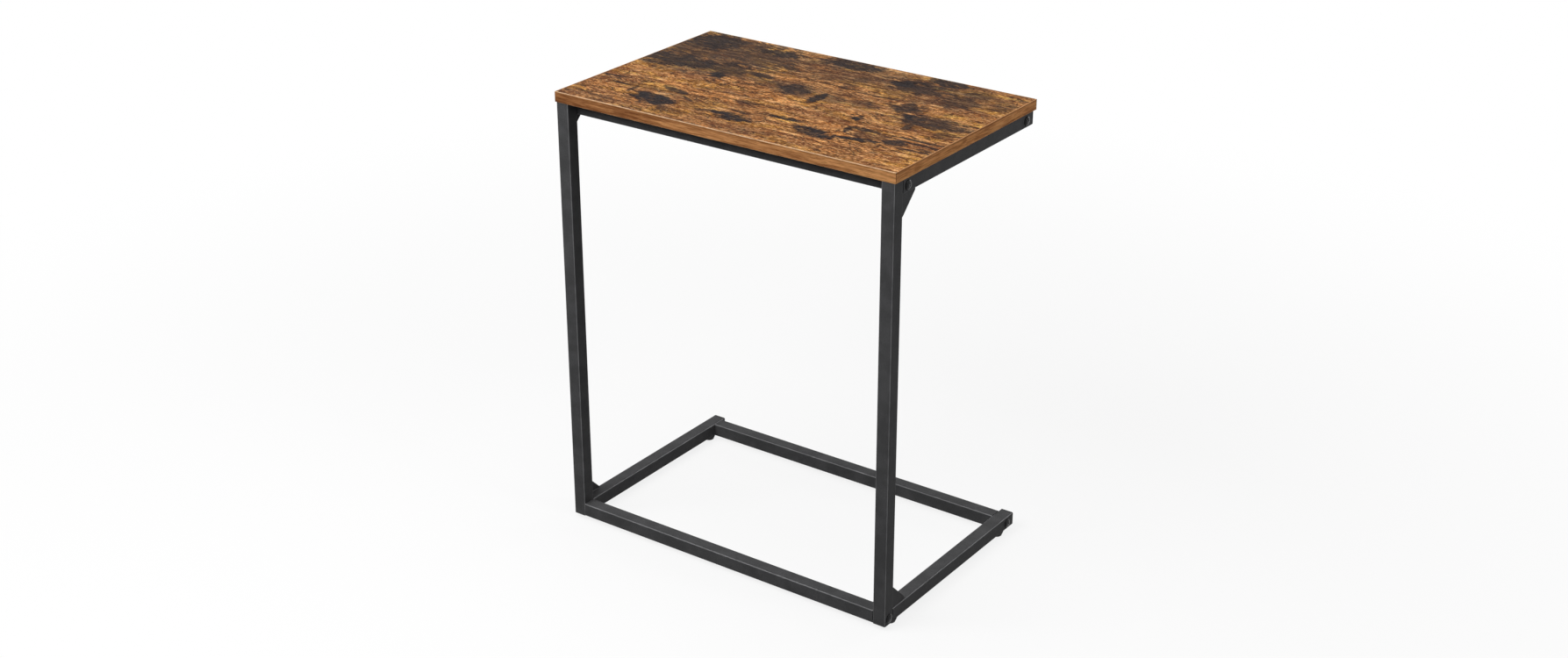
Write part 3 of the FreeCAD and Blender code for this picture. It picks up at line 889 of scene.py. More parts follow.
@dataclass(frozen=True)
class EdgeStripFinish:
    """The finish of the board's edge strips: a straight grain, with lines along the rounded edges painted
    in as highlights, and a painted shadow just under the top rim.
    """

    effects: Effects
    way: GrainWay
    dark: Colour
    middle: Colour
    light: Colour
    # Colours of the lines along the top and bottom rounded edges: painted highlights
    edge: Colour
    foot: Colour
    # How much lighter the strip is painted towards its positive end, a painted light falloff along it
    painted_light_slope: float
    # How dark the painted shadow just under the top rim is
    rim_shadow: float
    seam: Colour = shade(58, 34, 20)
    stretch: float = 0.3
    half_length: float = 0.275
    line_height: float = 0.0012
    rim_shadow_height: float = 0.0034

    streak_weight: float = 0.4
    band_weight: float = 0.35
    fibre_weight: float = 0.25
    colour_stops: tuple[float, ...] = (0.38, 0.5, 0.62)
    fleck_share: float = 0.3
    crack_share: float = 0.5
    pore_share: float = 0.4
    corner_reach: float = 0.15
    break_span: Span = (0.25, 0.6)
    break_range: Span = (0.45, 0.9)
    underside_span: Span = (-0.2, 0.0)
    end_span: Span = (0.5, 0.8)
    dull_range: Span = (0.5, 0.4)
    relief: float = 0.0001
    specular: float = 0.03

    def wood(self, graph: NodeGraph, grain: bpy.types.NodeOutputs, along: Socket) -> Socket:
        """Colours the strip's wood.

        Args:
            graph: The material's graph.
            grain: The grain's outputs.
            along: The place along the strip.

        Returns:
            The wood's colour, without the lines along its edges.
        """
        # Painted light: the strip turns lighter towards its positive end, as if more light fell there
        painted_light_ramp = graph.step(along, -self.half_length, self.half_length, -self.painted_light_slope / 2, self.painted_light_slope)
        blended = graph.weigh(
            painted_light_ramp,
            (grain["Streaks"], self.streak_weight),
            (grain["Bands"], self.band_weight),
            (grain["Fibres"], self.fibre_weight),
        )
        colour = graph.ramp(blended, tuple(zip(self.colour_stops, (self.dark, self.middle, self.light))))
        shares = (("Flecks", self.fleck_share), ("Cracks", self.crack_share), ("Pores", self.pore_share))
        for mask, share in shares:
            colour = graph.tint(colour, grain[mask], share, self.dark)
        return colour

    def build(self) -> bpy.types.Material:
        """Builds the material.

        Returns:
            The finished material.
        """
        material, graph, shader = new_material(f"edge_strip_{self.way.name.lower()}")
        texture = graph.add("TexCoord")
        place = graph.split(texture.outputs["Object"])
        facing = graph.split(texture.outputs["Normal"])
        along, across, up = (place[axis] for axis in self.way.value)
        drawn_out = graph.join(graph.math("MULTIPLY", along, self.stretch), across, up)
        grain = graph.effect(self.effects.grain, position=drawn_out)
        colour = self.wood(graph, grain, along)

        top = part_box("front_edge_band")[1].z
        line_start = top - self.line_height
        # Painted shadow: a darker band just under the rounded top rim
        rim_shadow_mask = graph.step(up, top - self.rim_shadow_height, line_start, 0.0, self.rim_shadow)
        colour = graph.mix(rim_shadow_mask, colour, self.dark)
        # Painted highlight: a light line along the rounded edges and the top rim, broken here and there
        rim = graph.step(up, line_start, top - self.line_height / 2)
        corner = graph.effect(self.effects.corner, reach=self.corner_reach)
        line = graph.math("MAXIMUM", corner["Mask"], rim)
        broken = graph.step(grain["Saw"], *self.break_span, *self.break_range)
        below = graph.step(facing["Z"], *self.underside_span, 1.0, 0.0)
        colour = graph.tint(colour, line, broken, graph.mix(below, self.edge, self.foot))
        end = graph.step(graph.math("ABSOLUTE", facing[self.way.value[0]]), *self.end_span)
        graph.feed(shader.inputs["Base Color"], graph.mix(end, colour, self.seam))

        graph.feed(shader.inputs["Roughness"], graph.step(grain["Fibres"], *NOISE_SPAN, *self.dull_range))
        add_bump(graph, shader, grain["Fibres"], self.relief)
        shader.inputs["Specular IOR Level"].default_value = self.specular
        return material


@dataclass(frozen=True)
class CoatedFinish:
    """A sprayed, moulded or plated surface: fine grit, mottling, edges painted lighter (partly wear, partly
    a painted highlight) and any bare places in bolt sockets (partly wear, partly a painted highlight).
    """

    effects: Effects
    name: str
    colour: Colour
    # Colour of the rounded edges: partly wear, partly a painted highlight in place of the lamps' gleam
    edge_wear_and_highlight: Colour
    grain: float
    relief: float
    roughness: float
    specular: float
    metallic: float = 0.0
    worn: Colour | None = None
    mottle_range: Span = (0.86, 1.14)
    grit_range: Span = (0.84, 1.16)
    corner_reach: float = 0.25
    wear_highlight_span: Span = (0.35, 0.6)
    wear_highlight_range: Span = (0.55, 0.8)
    dull_range: Span = (-0.05, 0.05)

    def build(self) -> bpy.types.Material:
        """Builds the material.

        Returns:
            The finished material.
        """
        material, graph, shader = new_material(self.name)
        coating = graph.effect(self.effects.coating, grain=self.grain)
        mottle = graph.step(coating["Mottle"], *NOISE_SPAN, *self.mottle_range)
        grit = graph.step(coating["Grit"], *NOISE_SPAN, *self.grit_range)
        colour = graph.brighten(self.colour, graph.math("MULTIPLY", mottle, grit))
        # Painted highlight: rounded edges take a lighter colour, partly as wear and partly as a painted
        # highlight
        corner = graph.effect(self.effects.corner, reach=self.corner_reach)
        wear_and_highlight = graph.step(coating["Mottle"], *self.wear_highlight_span, *self.wear_highlight_range)
        colour = graph.tint(colour, corner["Mask"], wear_and_highlight, self.edge_wear_and_highlight)
        # The bolt sockets take a light grey: partly bare metal from wear, partly a painted highlight
        if self.worn is not None:
            mask = graph.add("Attribute", attribute_name=WORN_AND_HIGHLIGHT_MASK).outputs["Fac"]
            colour = graph.mix(mask, colour, self.worn)
        graph.feed(shader.inputs["Base Color"], colour)
        change = graph.step(coating["Mottle"], *NOISE_SPAN, *self.dull_range)
        graph.feed(shader.inputs["Roughness"], graph.math("ADD", change, self.roughness))
        add_bump(graph, shader, coating["Grit"], self.relief)
        shader.inputs["Specular IOR Level"].default_value = self.specular
        shader.inputs["Metallic"].default_value = self.metallic
        return material


@dataclass(frozen=True)
class Wardrobe:
    """All the finishes of the table, each built once."""

    plank: bpy.types.Material
    strip_along_x: bpy.types.Material
    strip_along_y: bpy.types.Material
    coat: bpy.types.Material
    plastic: bpy.types.Material
    fastener: bpy.types.Material
    steel: bpy.types.Material


def build_wardrobe() -> Wardrobe:
    """Builds the shared effects and then every finish.

    Returns:
        The finishes.
    """
    effects = Effects(
        corner=build_corner_effect(),
        grain=WoodGrain().build(),
        char=build_char_effect(),
        coating=build_coating_effect(),
    )
    return Wardrobe(
        plank=PlankFinish(effects).build(),
        strip_along_x=EdgeStripFinish(
            effects, GrainWay.ALONG_X,
            dark=shade(112, 67, 38), middle=shade(172, 117, 73), light=shade(222, 160, 102),
            edge=shade(226, 190, 152), foot=shade(232, 198, 164), painted_light_slope=0.09, rim_shadow=0.3,
        ).build(),
        # The strips along Y are painted lighter than those along X: painted light that makes up for the
        # weaker light on the left and right edges
        strip_along_y=EdgeStripFinish(
            effects, GrainWay.ALONG_Y,
            dark=shade(136, 83, 45), middle=shade(218, 150, 92), light=shade(248, 187, 122),
            edge=shade(206, 152, 106), foot=shade(226, 190, 150), painted_light_slope=0.0, rim_shadow=0.55,
        ).build(),
        coat=CoatedFinish(
            effects, "black_powder_coat", shade(79, 79, 80), shade(158, 158, 160),
            grain=1500.0, relief=0.00006, roughness=0.5, specular=0.03,
        ).build(),
        plastic=CoatedFinish(
            effects, "black_plastic", shade(36, 36, 37), shade(52, 52, 53),
            grain=2600.0, relief=0.00003, roughness=0.45, specular=0.15,
        ).build(),
        # The socket's light grey is partly bare metal from wear and partly a painted highlight
        fastener=CoatedFinish(
            effects, "blackened_bolt", shade(22, 22, 23), shade(34, 34, 36),
            grain=3200.0, relief=0.00001, roughness=0.24, specular=0.16, worn=shade(150, 150, 152),
        ).build(),
        steel=CoatedFinish(
            effects, "zinc_steel", shade(176, 178, 182), shade(204, 205, 208),
            grain=2000.0, relief=0.00001, roughness=0.32, specular=0.5, metallic=1.0,
        ).build(),
    )


# Modelling helpers
def clear_selection() -> None:
    """Deselects everything, so that an operator acts on nothing by mistake."""
    bpy.ops.object.select_all(action="DESELECT")


def make_active(piece: bpy.types.Object) -> None:
    """Selects one piece alone and makes it the active one.

    Args:
        piece: The piece.
    """
    clear_selection()
    piece.select_set(True)
    bpy.context.view_layer.objects.active = piece


@contextmanager
def edit_mode(piece: bpy.types.Object) -> Iterator[None]:
    """Opens a piece for edit-mode operators, with nothing of it selected.

    Args:
        piece: The piece to open.

    Returns:
        A context that closes the piece at its end.
    """
    make_active(piece)
    bpy.ops.object.mode_set(mode="EDIT")
    bpy.ops.mesh.select_mode(type="FACE")
    bpy.ops.mesh.select_all(action="DESELECT")
    yield
    bpy.ops.object.mode_set(mode="OBJECT")


def select_faces(piece: bpy.types.Object, wanted: Callable[[bmesh.types.BMFace], bool]) -> None:
    """Selects the faces that pass a test, in edit mode.

    Args:
        piece: The piece that is open.
        wanted: Tells whether a face is wanted.
    """
    mesh = bmesh.from_edit_mesh(piece.data)
    bpy.ops.mesh.select_mode(type="FACE")
    for face in mesh.faces:
        face.select_set(wanted(face))
    bmesh.update_edit_mesh(piece.data)


def select_rim(piece: bpy.types.Object, wanted: Callable[[bmesh.types.BMFace], bool]) -> None:
    """Selects the outline of the faces that pass a test, in edit mode."""
    select_faces(piece, wanted)
    bpy.ops.mesh.region_to_loop()


def is_lid(face: bmesh.types.BMFace) -> bool:
    """Tells whether a face is a broad one that looks up."""
    return face.normal.z > LEVEL_LIMIT and len(face.verts) > QUAD_CORNERS


def is_base(face: bmesh.types.BMFace) -> bool:
    """Tells whether a face is a broad one that looks down."""
    return face.normal.z < -LEVEL_LIMIT and len(face.verts) > QUAD_CORNERS


def start_cylinder(radius: float, height: float, sides: int) -> bpy.types.Object:
    """Starts a piece as a cylinder that stands on the origin.

    Args:
        radius: The cylinder's radius.
        height: Its height.
        sides: How many sides it has.

    Returns:
        The new piece.
    """
    clear_selection()
    bpy.ops.mesh.primitive_cylinder_add(
        vertices=sides, radius=radius, depth=height, location=(0.0, 0.0, height / 2),
    )
    cylinder = bpy.context.active_object
    bpy.ops.object.transform_apply(location=True)
    return cylinder


def extrude(travel: float) -> None:
    """Extrudes the selected faces along Z."""
    bpy.ops.mesh.extrude_region_move(TRANSFORM_OT_translate={"value": (0.0, 0.0, travel)})


def sink(thickness: float, travel: float) -> None:
    """Insets the selected face by a thickness, and moves the inner face along Z."""
    bpy.ops.mesh.inset(thickness=thickness)
    bpy.ops.transform.translate(value=(0.0, 0.0, travel))


def raise_dome(radius: float, height: float, steps: int, top_share: float) -> None:
    """Shapes the selected round face into a low dome, ring by ring.

    Args:
        radius: The face's radius.
        height: How high the dome would be at its full rise.
        steps: How many rings it gets.
        top_share: The share of the quarter turn at which the dome is left flat.
    """
    last_radius, last_height = radius, 0.0
    for step in range(1, steps + 1):
        angle = math.pi / 2 * top_share * step / steps
        next_radius, next_height = radius * math.cos(angle), height * math.sin(angle)
        sink(last_radius - next_radius, next_height - last_height)
        last_radius, last_height = next_radius, next_height


def cut_away(piece: bpy.types.Object, cutter: bpy.types.Object) -> None:
    """Cuts one shape out of a piece and removes the cutter.

    Args:
        piece: The piece that is cut.
        cutter: The shape that is taken out of it.
    """
    make_active(piece)
    cut = piece.modifiers.new("cut", "BOOLEAN")
    cut.operation = "DIFFERENCE"
    cut.object = cutter
    bpy.ops.object.modifier_apply(modifier=cut.name)
    bpy.data.objects.remove(cutter)


def clean(piece: bpy.types.Object, smooth_degrees: float = 32.0) -> None:
    """Merges doubled corners, turns all faces outwards and smooths the round ones.

    Args:
        piece: The piece to clean.
        smooth_degrees: The sharpest angle that is still shaded smooth.
    """
    with edit_mode(piece):
        bpy.ops.mesh.select_all(action="SELECT")
        bpy.ops.mesh.remove_doubles(threshold=MERGE_DISTANCE)
        bpy.ops.mesh.normals_make_consistent(inside=False)
    make_active(piece)
    bpy.ops.object.shade_smooth_by_angle(angle=math.radians(smooth_degrees))


def place_copy(
    pattern: bpy.types.Object, name: str, place: Vector, turn: Euler = Euler((0.0, 0.0, 0.0)),
) -> bpy.types.Object:
    """Copies a pattern and sets the copy's place in its own mesh.

    Args:
        pattern: The modelled pattern.
        name: The copy's name.
        place: Where the pattern's origin goes.
        turn: How the pattern is turned.

    Returns:
        The copy.
    """
    copy = pattern.copy()
    copy.data = pattern.data.copy()
    copy.name = name
    copy.data.name = name
    bpy.context.scene.collection.objects.link(copy)
    copy.location = place
    copy.rotation_euler = turn
    make_active(copy)
    bpy.ops.object.transform_apply(location=True, rotation=True, scale=True)
    return copy


def dress_node(node: str, material: bpy.types.Material) -> None:
    """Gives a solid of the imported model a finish.

    Args:
        node: The solid's name.
        material: Its finish.
    """
    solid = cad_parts[node]
    if not solid.material_slots:
        solid.data.materials.append(material)
    for slot in solid.material_slots:
        slot.material = material
    LOG.info("dressed %s in %s", node, material.name)


def hang(piece: bpy.types.Object, body: str, material: bpy.types.Material) -> None:
    """Dresses a modelled piece and hangs it on a body.

    Args:
        piece: The piece.
        body: The body that it moves with.
        material: Its finish.
    """
    piece.data.materials.clear()
    piece.data.materials.append(material)
    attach(piece, body)
    LOG.info("made %s on %s, %d faces", piece.name, body, len(piece.data.polygons))


def middle_of(node: str) -> Vector:
    """Returns the middle of a solid's box."""
    low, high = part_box(node)
    return (low + high) / 2


# Sub-assemblies
@dataclass
class TableTop:
    """The board with its strips, and the screws that hold it from below."""

    wardrobe: Wardrobe
    screw_radius: float = 0.004
    screw_rim: float = 0.0007
    screw_dome: float = 0.0017
    screw_spacing: float = 0.3
    recess_length: float = 0.0042
    recess_width: float = 0.0011
    recess_depth: float = 0.0014
    sides: int = 32
    dome_rings: int = 5
    dome_share: float = 0.8

    def model_screw(self) -> bpy.types.Object:
        """Models a pan-head screw's head with a crossed recess, crown upwards.

        Returns:
            The pattern, with its seat at the origin.
        """
        screw = start_cylinder(self.screw_radius, self.screw_rim, self.sides)
        with edit_mode(screw):
            select_faces(screw, is_lid)
            raise_dome(self.screw_radius, self.screw_dome, self.dome_rings, self.dome_share)
        top = self.screw_rim + self.screw_dome
        for size in ((self.recess_length, self.recess_width), (self.recess_width, self.recess_length)):
            bpy.ops.mesh.primitive_cube_add(size=1.0, location=(0.0, 0.0, top))
            arm = bpy.context.active_object
            arm.scale = (*size, 2 * self.recess_depth)
            bpy.ops.object.transform_apply(location=True, scale=True)
            cut_away(screw, arm)
        clean(screw)
        return screw

    def build(self) -> None:
        """Sets four screws under the upper rails."""
        pattern = self.model_screw()
        downwards = Euler((math.pi, 0.0, 0.0))
        for end in End:
            rail = f"{end.value}_upper_rail"
            seat = Vector((0.0, middle_of(rail).y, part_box(rail)[0].z))
            for side in Side:
                place = seat + Vector((side.value * self.screw_spacing / 2, 0.0, 0.0))
                name = f"board_screw_{end.value}_{side.name.lower()}"
                screw = place_copy(pattern, name, place, downwards)
                hang(screw, "frame", self.wardrobe.fastener)
        bpy.data.objects.remove(pattern)

    def dress(self) -> None:
        """Gives the board and its strips their finishes."""
        dress_node("tabletop_board", self.wardrobe.plank)
        for edge in ("front", "rear"):
            dress_node(f"{edge}_edge_band", self.wardrobe.strip_along_x)
        for edge in ("left", "right"):
            dress_node(f"{edge}_edge_band", self.wardrobe.strip_along_y)


@dataclass
class SideFrames:
    """The two C-shaped side frames, with the weld beads of their corner plates."""

    wardrobe: Wardrobe
    bead_radius: float = 0.0012
    bead_pitch: float = 0.0011
    bead_waist: float = 0.8
    bead_margin: float = 0.0025
    bead_sides: int = 12
    bead_smooth_degrees: float = 60.0

    def model_bead(self, length: float) -> bpy.types.Object:
        """Models a rippled weld bead that runs up from its origin.

        Args:
            length: The bead's length.

        Returns:
            The pattern.
        """
        clear_selection()
        bpy.ops.mesh.primitive_circle_add(
            vertices=self.bead_sides, radius=self.bead_radius * self.bead_waist, fill_type="NGON",
        )
        bead = bpy.context.active_object
        ripples = round(length / self.bead_pitch)
        half = length / ripples / 2
        with edit_mode(bead):
            select_faces(bead, lambda face: True)
            for _ in range(ripples):
                for swell in (1 / self.bead_waist, self.bead_waist):
                    extrude(half)
                    bpy.ops.transform.resize(value=(swell, swell, 1.0))
        clean(bead, self.bead_smooth_degrees)
        return bead

    def build(self) -> None:
        """Runs a bead along both welded edges of each corner plate, on its inner face."""
        low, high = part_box("right_lower_gusset")
        pattern = self.model_bead(high.y - low.y - 2 * self.bead_margin)
        upwards = Euler((0.0, 0.0, 0.0))
        rearwards = Euler((-math.pi / 2, 0.0, 0.0))
        for side in Side:
            name = side.name.lower()
            for level in ("upper", "lower"):
                low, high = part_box(f"{name}_{level}_gusset")
                inner = low.x if side is Side.RIGHT else high.x
                arm_height = low.z if level == "lower" else high.z
                on_leg = Vector((inner, low.y, low.z + self.bead_margin))
                on_arm = Vector((inner, low.y + self.bead_margin, arm_height))
                for edge, place, turn in (("upright", on_leg, upwards), ("arm", on_arm, rearwards)):
                    bead = place_copy(pattern, f"weld_{name}_{level}_{edge}", place, turn)
                    hang(bead, "frame", self.wardrobe.coat)
        bpy.data.objects.remove(pattern)

    def dress(self) -> None:
        """Gives the tubes and plates their coat, and the caps and plugs their plastic."""
        for side in Side:
            name = side.name.lower()
            dress_node(f"{name}_leg", self.wardrobe.coat)
            dress_node(f"{name}_leg_plug", self.wardrobe.plastic)
            for level in ("upper", "lower"):
                dress_node(f"{name}_{level}_arm", self.wardrobe.coat)
                dress_node(f"{name}_{level}_gusset", self.wardrobe.coat)
                dress_node(f"{name}_{level}_cap", self.wardrobe.plastic)


@dataclass
class CrossRails:
    """The rails between the side frames, with the bolts that hold them."""

    wardrobe: Wardrobe
    rails: tuple[str, ...] = ("front_upper_rail", "rear_upper_rail", "front_lower_rail", "rear_lower_rail")
    head_radius: float = 0.0065
    head_rim: float = 0.0008
    head_dome: float = 0.0022
    shank_radius: float = 0.003
    shank_length: float = 0.03
    tip_bevel: float = 0.0006
    socket_width: float = 0.004
    socket_depth: float = 0.0018
    socket_sides: int = 6
    socket_slack: float = 0.0001
    sides: int = 48
    dome_rings: int = 7
    dome_share: float = 0.72

    def model_bolt(self) -> bpy.types.Object:
        """Models a bolt with a wide domed head and a six-sided socket, head upwards.

        Returns:
            The pattern, with the seat of its head at the origin.
        """
        bolt = start_cylinder(self.head_radius, self.head_rim, self.sides)
        with edit_mode(bolt):
            select_faces(bolt, is_lid)
            raise_dome(self.head_radius, self.head_dome, self.dome_rings, self.dome_share)
            select_faces(bolt, is_base)
            bpy.ops.mesh.inset(thickness=self.head_radius - self.shank_radius)
            extrude(self.tip_bevel - self.shank_length)
            extrude(-self.tip_bevel)
            narrow = 1 - self.tip_bevel / self.shank_radius
            bpy.ops.transform.resize(value=(narrow, narrow, 1.0))
        corner_radius = self.socket_width / 2 / math.cos(math.pi / self.socket_sides)
        bpy.ops.mesh.primitive_cylinder_add(
            vertices=self.socket_sides, radius=corner_radius, depth=2 * self.socket_depth,
            location=(0.0, 0.0, self.head_rim + self.head_dome),
        )
        cut_away(bolt, bpy.context.active_object)
        clean(bolt)
        self.mark_socket(bolt)
        return bolt

    def mark_socket(self, bolt: bpy.types.Object) -> None:
        """Marks the faces inside a bolt's socket, which are painted light grey: partly bare metal where
        keys have scraped the black off, partly a painted highlight.

        Args:
            bolt: The pattern, head upwards.
        """
        floor = self.head_rim + self.head_dome - self.socket_depth
        worn = bolt.data.attributes.new(WORN_AND_HIGHLIGHT_MASK, "FLOAT", "FACE")
        for face, mark in zip(bolt.data.polygons, worn.data):
            inside = face.center.to_2d().length < self.socket_width / 2 + self.socket_slack
            wall = abs(face.normal.z) < UPRIGHT_LIMIT and face.center.z > 0
            bottom = abs(face.center.z - floor) < self.socket_slack
            mark.value = float(inside and (wall or bottom))

    def build(self) -> None:
        """Sets a bolt in each end of each rail, in place of the plain ones."""
        pattern = self.model_bolt()
        for rail in self.rails:
            middle = middle_of(rail)
            for side in Side:
                name = side.name.lower()
                low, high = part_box(f"{name}_leg")
                outer = high.x if side is Side.RIGHT else low.x
                turn = Euler((0.0, side.value * math.pi / 2, 0.0))
                place = Vector((outer, middle.y, middle.z))
                bolt = place_copy(pattern, f"bolt_{rail.removesuffix('_rail')}_{name}", place, turn)
                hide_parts("frame_bolts")
                hang(bolt, "frame", self.wardrobe.fastener)
        bpy.data.objects.remove(pattern)

    def dress(self) -> None:
        """Gives the rails their coat and their plugs a plain steel."""
        for rail in self.rails:
            dress_node(rail, self.wardrobe.coat)
        dress_node("rail_plugs", self.wardrobe.steel)


@dataclass
class LevellingFeet:
    """The four feet: moulded pads on threaded studs."""

    wardrobe: Wardrobe
    base_round: float = 0.0007
    base_steps: int = 4
    top_round: float = 0.0004
    top_steps: int = 3
    ring_inset: float = 0.0016
    ring_width: float = 0.002
    ring_depth: float = 0.0006
    bore_share: float = 0.65
    thread_depth: float = 0.0006
    thread_pitch: float = 0.001
    thread_steps: int = 24
    thread_half_share: float = 0.46
    thread_root_share: float = 0.97
    bare_turns: int = 3
    tip_bevel: float = 0.0006
    sides: int = 64

    def taper(self, node: str) -> float:
        """Measures how much a plain pad narrows.

        Args:
            node: The plain pad.

        Returns:
            The width of its base as a share of its top width.
        """
        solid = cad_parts[node]
        low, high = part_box(node)
        near_base = [corner.co.x for corner in solid.data.vertices if corner.co.z < low.z + self.top_round]
        return (max(near_base) - min(near_base)) / (high.x - low.x)

    def model_pad(self, node: str, bore: float) -> bpy.types.Object:
        """Models a tapered pad with rounded edges, a ring in its sole and a socket for its stud.

        Args:
            node: The plain pad that gives the size.
            bore: The socket's radius.

        Returns:
            The pattern, standing on its origin.
        """
        low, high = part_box(node)
        height = high.z - low.z
        top_radius = (high.x - low.x) / 2
        base_radius = top_radius * self.taper(node)
        clear_selection()
        bpy.ops.mesh.primitive_cone_add(
            vertices=self.sides, radius1=base_radius, radius2=top_radius, depth=height,
            location=(0.0, 0.0, height / 2),
        )
        pad = bpy.context.active_object
        bpy.ops.object.transform_apply(location=True)
        with edit_mode(pad):
            select_rim(pad, is_base)
            bpy.ops.mesh.bevel(offset=self.base_round, segments=self.base_steps, affect="EDGES")
            select_rim(pad, is_lid)
            bpy.ops.mesh.bevel(offset=self.top_round, segments=self.top_steps, affect="EDGES")
            select_faces(pad, is_base)
            sink(self.ring_inset, 0.0)
            sink(self.ring_depth, self.ring_depth)
            sink(self.ring_width, 0.0)
            sink(self.ring_depth, -self.ring_depth)
            select_faces(pad, is_lid)
            bpy.ops.mesh.inset(thickness=top_radius - self.top_round - bore)
            extrude(-self.bore_share * height)
        clean(pad)
        return pad

    def model_thread(self, core: float, radius: float, length: float) -> bpy.types.Object:
        """Models the ridge of a thread that winds up around Z.

        Args:
            core: The radius under the thread.
            radius: The radius over the thread.
            length: The length of the stud that it winds around.

        Returns:
            The ridge.
        """
        half = self.thread_pitch * self.thread_half_share
        root = core * self.thread_root_share
        section = ((root, half), (radius, 0.0), (root, -half))
        clear_selection()
        bpy.ops.mesh.primitive_circle_add(vertices=len(section), radius=self.thread_depth)
        ridge = bpy.context.active_object
        for corner, (out, up) in zip(ridge.data.vertices, section):
            corner.co = (out, 0.0, up + self.thread_pitch)
        winding = ridge.modifiers.new("winding", "SCREW")
        winding.axis = "Z"
        winding.screw_offset = self.thread_pitch
        winding.iterations = int(length / self.thread_pitch) - self.bare_turns
        winding.steps = self.thread_steps
        winding.render_steps = self.thread_steps
        winding.use_smooth_shade = False
        make_active(ridge)
        bpy.ops.object.modifier_apply(modifier=winding.name)
        with edit_mode(ridge):
            bpy.ops.mesh.select_mode(type="EDGE")
            bpy.ops.mesh.select_non_manifold()
            bpy.ops.mesh.edge_face_add()
        clean(ridge)
        return ridge

    def model_stud(self, radius: float, length: float) -> bpy.types.Object:
        """Models a threaded stud that stands on its origin.

        Args:
            radius: The radius over the thread.
            length: The stud's length.

        Returns:
            The pattern.
        """
        core = radius - self.thread_depth
        stud = start_cylinder(core, length, self.thread_steps)
        with edit_mode(stud):
            select_rim(stud, is_lid)
            bpy.ops.mesh.bevel(offset=self.tip_bevel, segments=1, affect="EDGES")
        clean(stud)
        ridge = self.model_thread(core, radius, length)
        make_active(stud)
        ridge.select_set(True)
        bpy.ops.object.join()
        return stud

    def build(self) -> None:
        """Sets a modelled pad and stud in place of each plain pair."""
        first_pad, first_stud = "front_left_foot_pad", "front_left_foot_stud"
        low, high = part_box(first_stud)
        radius = (high.x - low.x) / 2
        pad_pattern = self.model_pad(first_pad, radius)
        stud_pattern = self.model_stud(radius, high.z - low.z)
        for end in End:
            for side in Side:
                corner = f"{end.value}_{side.name.lower()}"
                for part, pattern, slot, material in (
                    ("pad", pad_pattern, "black_plastic", self.wardrobe.plastic),
                    ("stud", stud_pattern, "plain_steel", self.wardrobe.steel),
                ):
                    node = f"{corner}_foot_{part}"
                    middle = middle_of(node)
                    seat = Vector((middle.x, middle.y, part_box(node)[0].z))
                    piece = place_copy(pattern, f"{part}_{corner}", seat)
                    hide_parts(node)
                    hang(piece, f"{corner}_{part}", material)
        bpy.data.objects.remove(pad_pattern)
        bpy.data.objects.remove(stud_pattern)

    def dress(self) -> None:
        """Gives the nuts in the arms a plain steel."""
        dress_node("foot_nuts", self.wardrobe.steel)


# Studio
@dataclass(frozen=True)
class SoftBox:
    """A square soft light: its name, place, width and power in watts."""

    name: str
    place: Point
    size: float
    power: float

    def build(self, aim: Point) -> None:
        """Sets up the light.

        Args:
            aim: The point that it faces.
        """
        light = bpy.data.lights.new(self.name, "AREA")
        light.shape = "SQUARE"
        light.size = self.size
        light.energy = self.power
        lamp = bpy.data.objects.new(self.name, light)
        lamp.location = self.place
        lamp.rotation_euler = (Vector(aim) - Vector(self.place)).to_track_quat("-Z", "Y").to_euler()
        bpy.context.scene.collection.objects.link(lamp)


@dataclass(frozen=True)
class Viewpoint:
    """The camera: its place, the way it looks and its lens."""

    place: Point = (1.5907, -2.2615, 1.5732)
    azimuth_degrees: float = 35.415
    elevation_degrees: float = 24.507
    lens_mm: float = 49.22
    sensor_mm: float = 36.0

    def build(self) -> None:
        """Sets up the camera and makes it the scene's own."""
        azimuth, elevation = math.radians(self.azimuth_degrees), math.radians(self.elevation_degrees)
        level = math.cos(elevation)
        ahead = Vector((-math.sin(azimuth) * level, math.cos(azimuth) * level, -math.sin(elevation)))
        camera = bpy.data.cameras.new("camera")
        camera.lens = self.lens_mm
        camera.sensor_width = self.sensor_mm
        camera.sensor_fit = "HORIZONTAL"
        eye = bpy.data.objects.new("camera", camera)
        eye.location = self.place
        eye.rotation_euler = ahead.to_track_quat("-Z", "Y").to_euler()
        bpy.context.scene.collection.objects.link(eye)
        bpy.context.scene.camera = eye


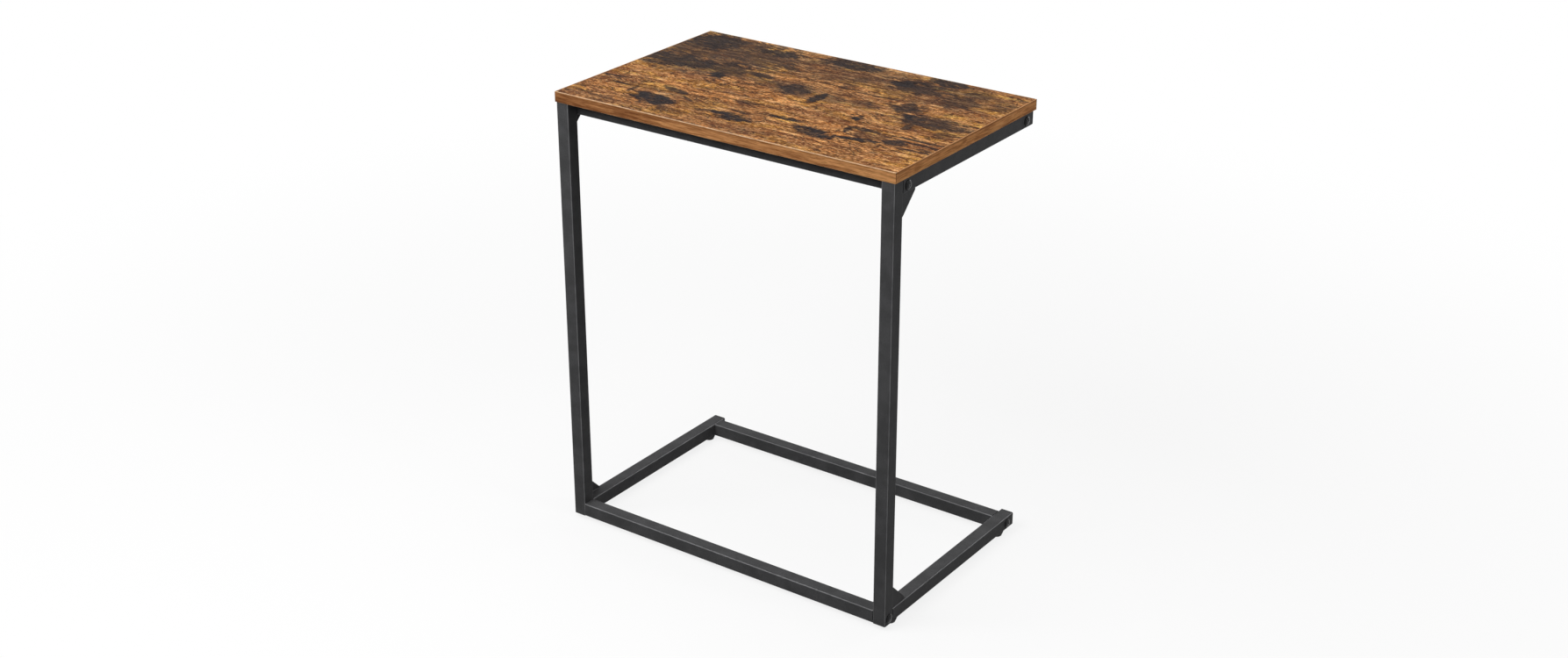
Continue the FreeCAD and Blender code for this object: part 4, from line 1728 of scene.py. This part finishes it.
@dataclass
class Studio:
    """A plain pale floor, a white surround, soft lights and the camera."""

    floor_half: float = 30.0
    ambient: float = 0.08
    shadow_share: float = 0.17
    shadow_near: float = 0.6
    shadow_far: float = 2.0
    white: Colour = (1.0, 1.0, 1.0, 1.0)
    floor_colour: Colour = shade(136, 136, 136)
    shown_colour: Colour = shade(250, 250, 250)
    aim: Point = (0.0, 0.0, 0.4)
    lights: tuple[SoftBox, ...] = (
        SoftBox("key", (-0.6, -1.5, 2.0), size=1.5, power=40.0),
        SoftBox("fill", (1.7, -0.1, 1.8), size=0.5, power=8.0),
        SoftBox("overhead", (0.0, 0.1, 5.0), size=3.0, power=58.0),
        SoftBox("rear", (1.0, 3.2, 1.2), size=1.6, power=22.0),
        SoftBox("left", (-3.0, 0.6, 1.2), size=1.6, power=9.0),
    )

    def seen_directly(self, graph: NodeGraph) -> Socket:
        """Tells the rays that show the surround itself from those that only carry its light.

        Args:
            graph: The graph of the surround or the floor.

        Returns:
            A mask of the rays that show it.
        """
        path = graph.add("LightPath").outputs
        mirrored = graph.math("MAXIMUM", path["Is Glossy Ray"], path["Is Transmission Ray"])
        return graph.math("MAXIMUM", path["Is Camera Ray"], mirrored)

    def build_world(self) -> None:
        """Surrounds the table with white that lights it at a plain level."""
        world = bpy.data.worlds.new("surround")
        graph = fresh_graph(world)
        lit, shown = graph.add("Background"), graph.add("Background")
        lit.inputs["Strength"].default_value = self.ambient
        for background in (lit, shown):
            background.inputs["Color"].default_value = self.white
        surface = graph.blend(self.seen_directly(graph), lit.outputs[0], shown.outputs[0])
        graph.feed(graph.add("OutputWorld").inputs["Surface"], surface)
        bpy.context.scene.world = world

    def build_floor(self) -> None:
        """Lays a pale floor that reads as white and keeps a soft shadow around the table."""
        clear_selection()
        bpy.ops.mesh.primitive_plane_add(size=2 * self.floor_half, location=(0.0, 0.0, 0.0))
        floor = bpy.context.active_object
        floor.name = "floor"
        material = bpy.data.materials.new("pale_floor")
        graph = fresh_graph(material)
        lit, shaded = graph.add("BsdfDiffuse"), graph.add("BsdfDiffuse")
        lit.inputs["Color"].default_value = self.floor_colour
        shaded.inputs["Color"].default_value = self.shown_colour
        glow = graph.add("Emission")
        distance = graph.length(graph.add("TexCoord").outputs["Object"])
        shadow = graph.step(distance, self.shadow_near, self.shadow_far, self.shadow_share, 0.0)
        shown = graph.blend(shadow, glow.outputs[0], shaded.outputs[0])
        surface = graph.blend(self.seen_directly(graph), lit.outputs[0], shown)
        graph.feed(graph.add("OutputMaterial").inputs["Surface"], surface)
        floor.data.materials.append(material)

    def build(self) -> None:
        """Sets up the whole studio."""
        self.build_world()
        self.build_floor()
        for light in self.lights:
            light.build(self.aim)
        Viewpoint().build()
        bpy.context.scene.view_settings.view_transform = "Standard"
        LOG.info("set up the studio")


def write_sizes() -> None:
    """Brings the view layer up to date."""
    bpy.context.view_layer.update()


def main() -> None:
    """Builds and dresses the table, piece by piece, and then the studio around it."""
    logging.basicConfig(level=logging.INFO, format="%(message)s")
    wardrobe = build_wardrobe()
    for kind in (TableTop, SideFrames, CrossRails, LevellingFeet):
        assembly = kind(wardrobe)
        assembly.dress()
        assembly.build()
    Studio().build()
    write_sizes()


if __name__ == "__main__":
    main()
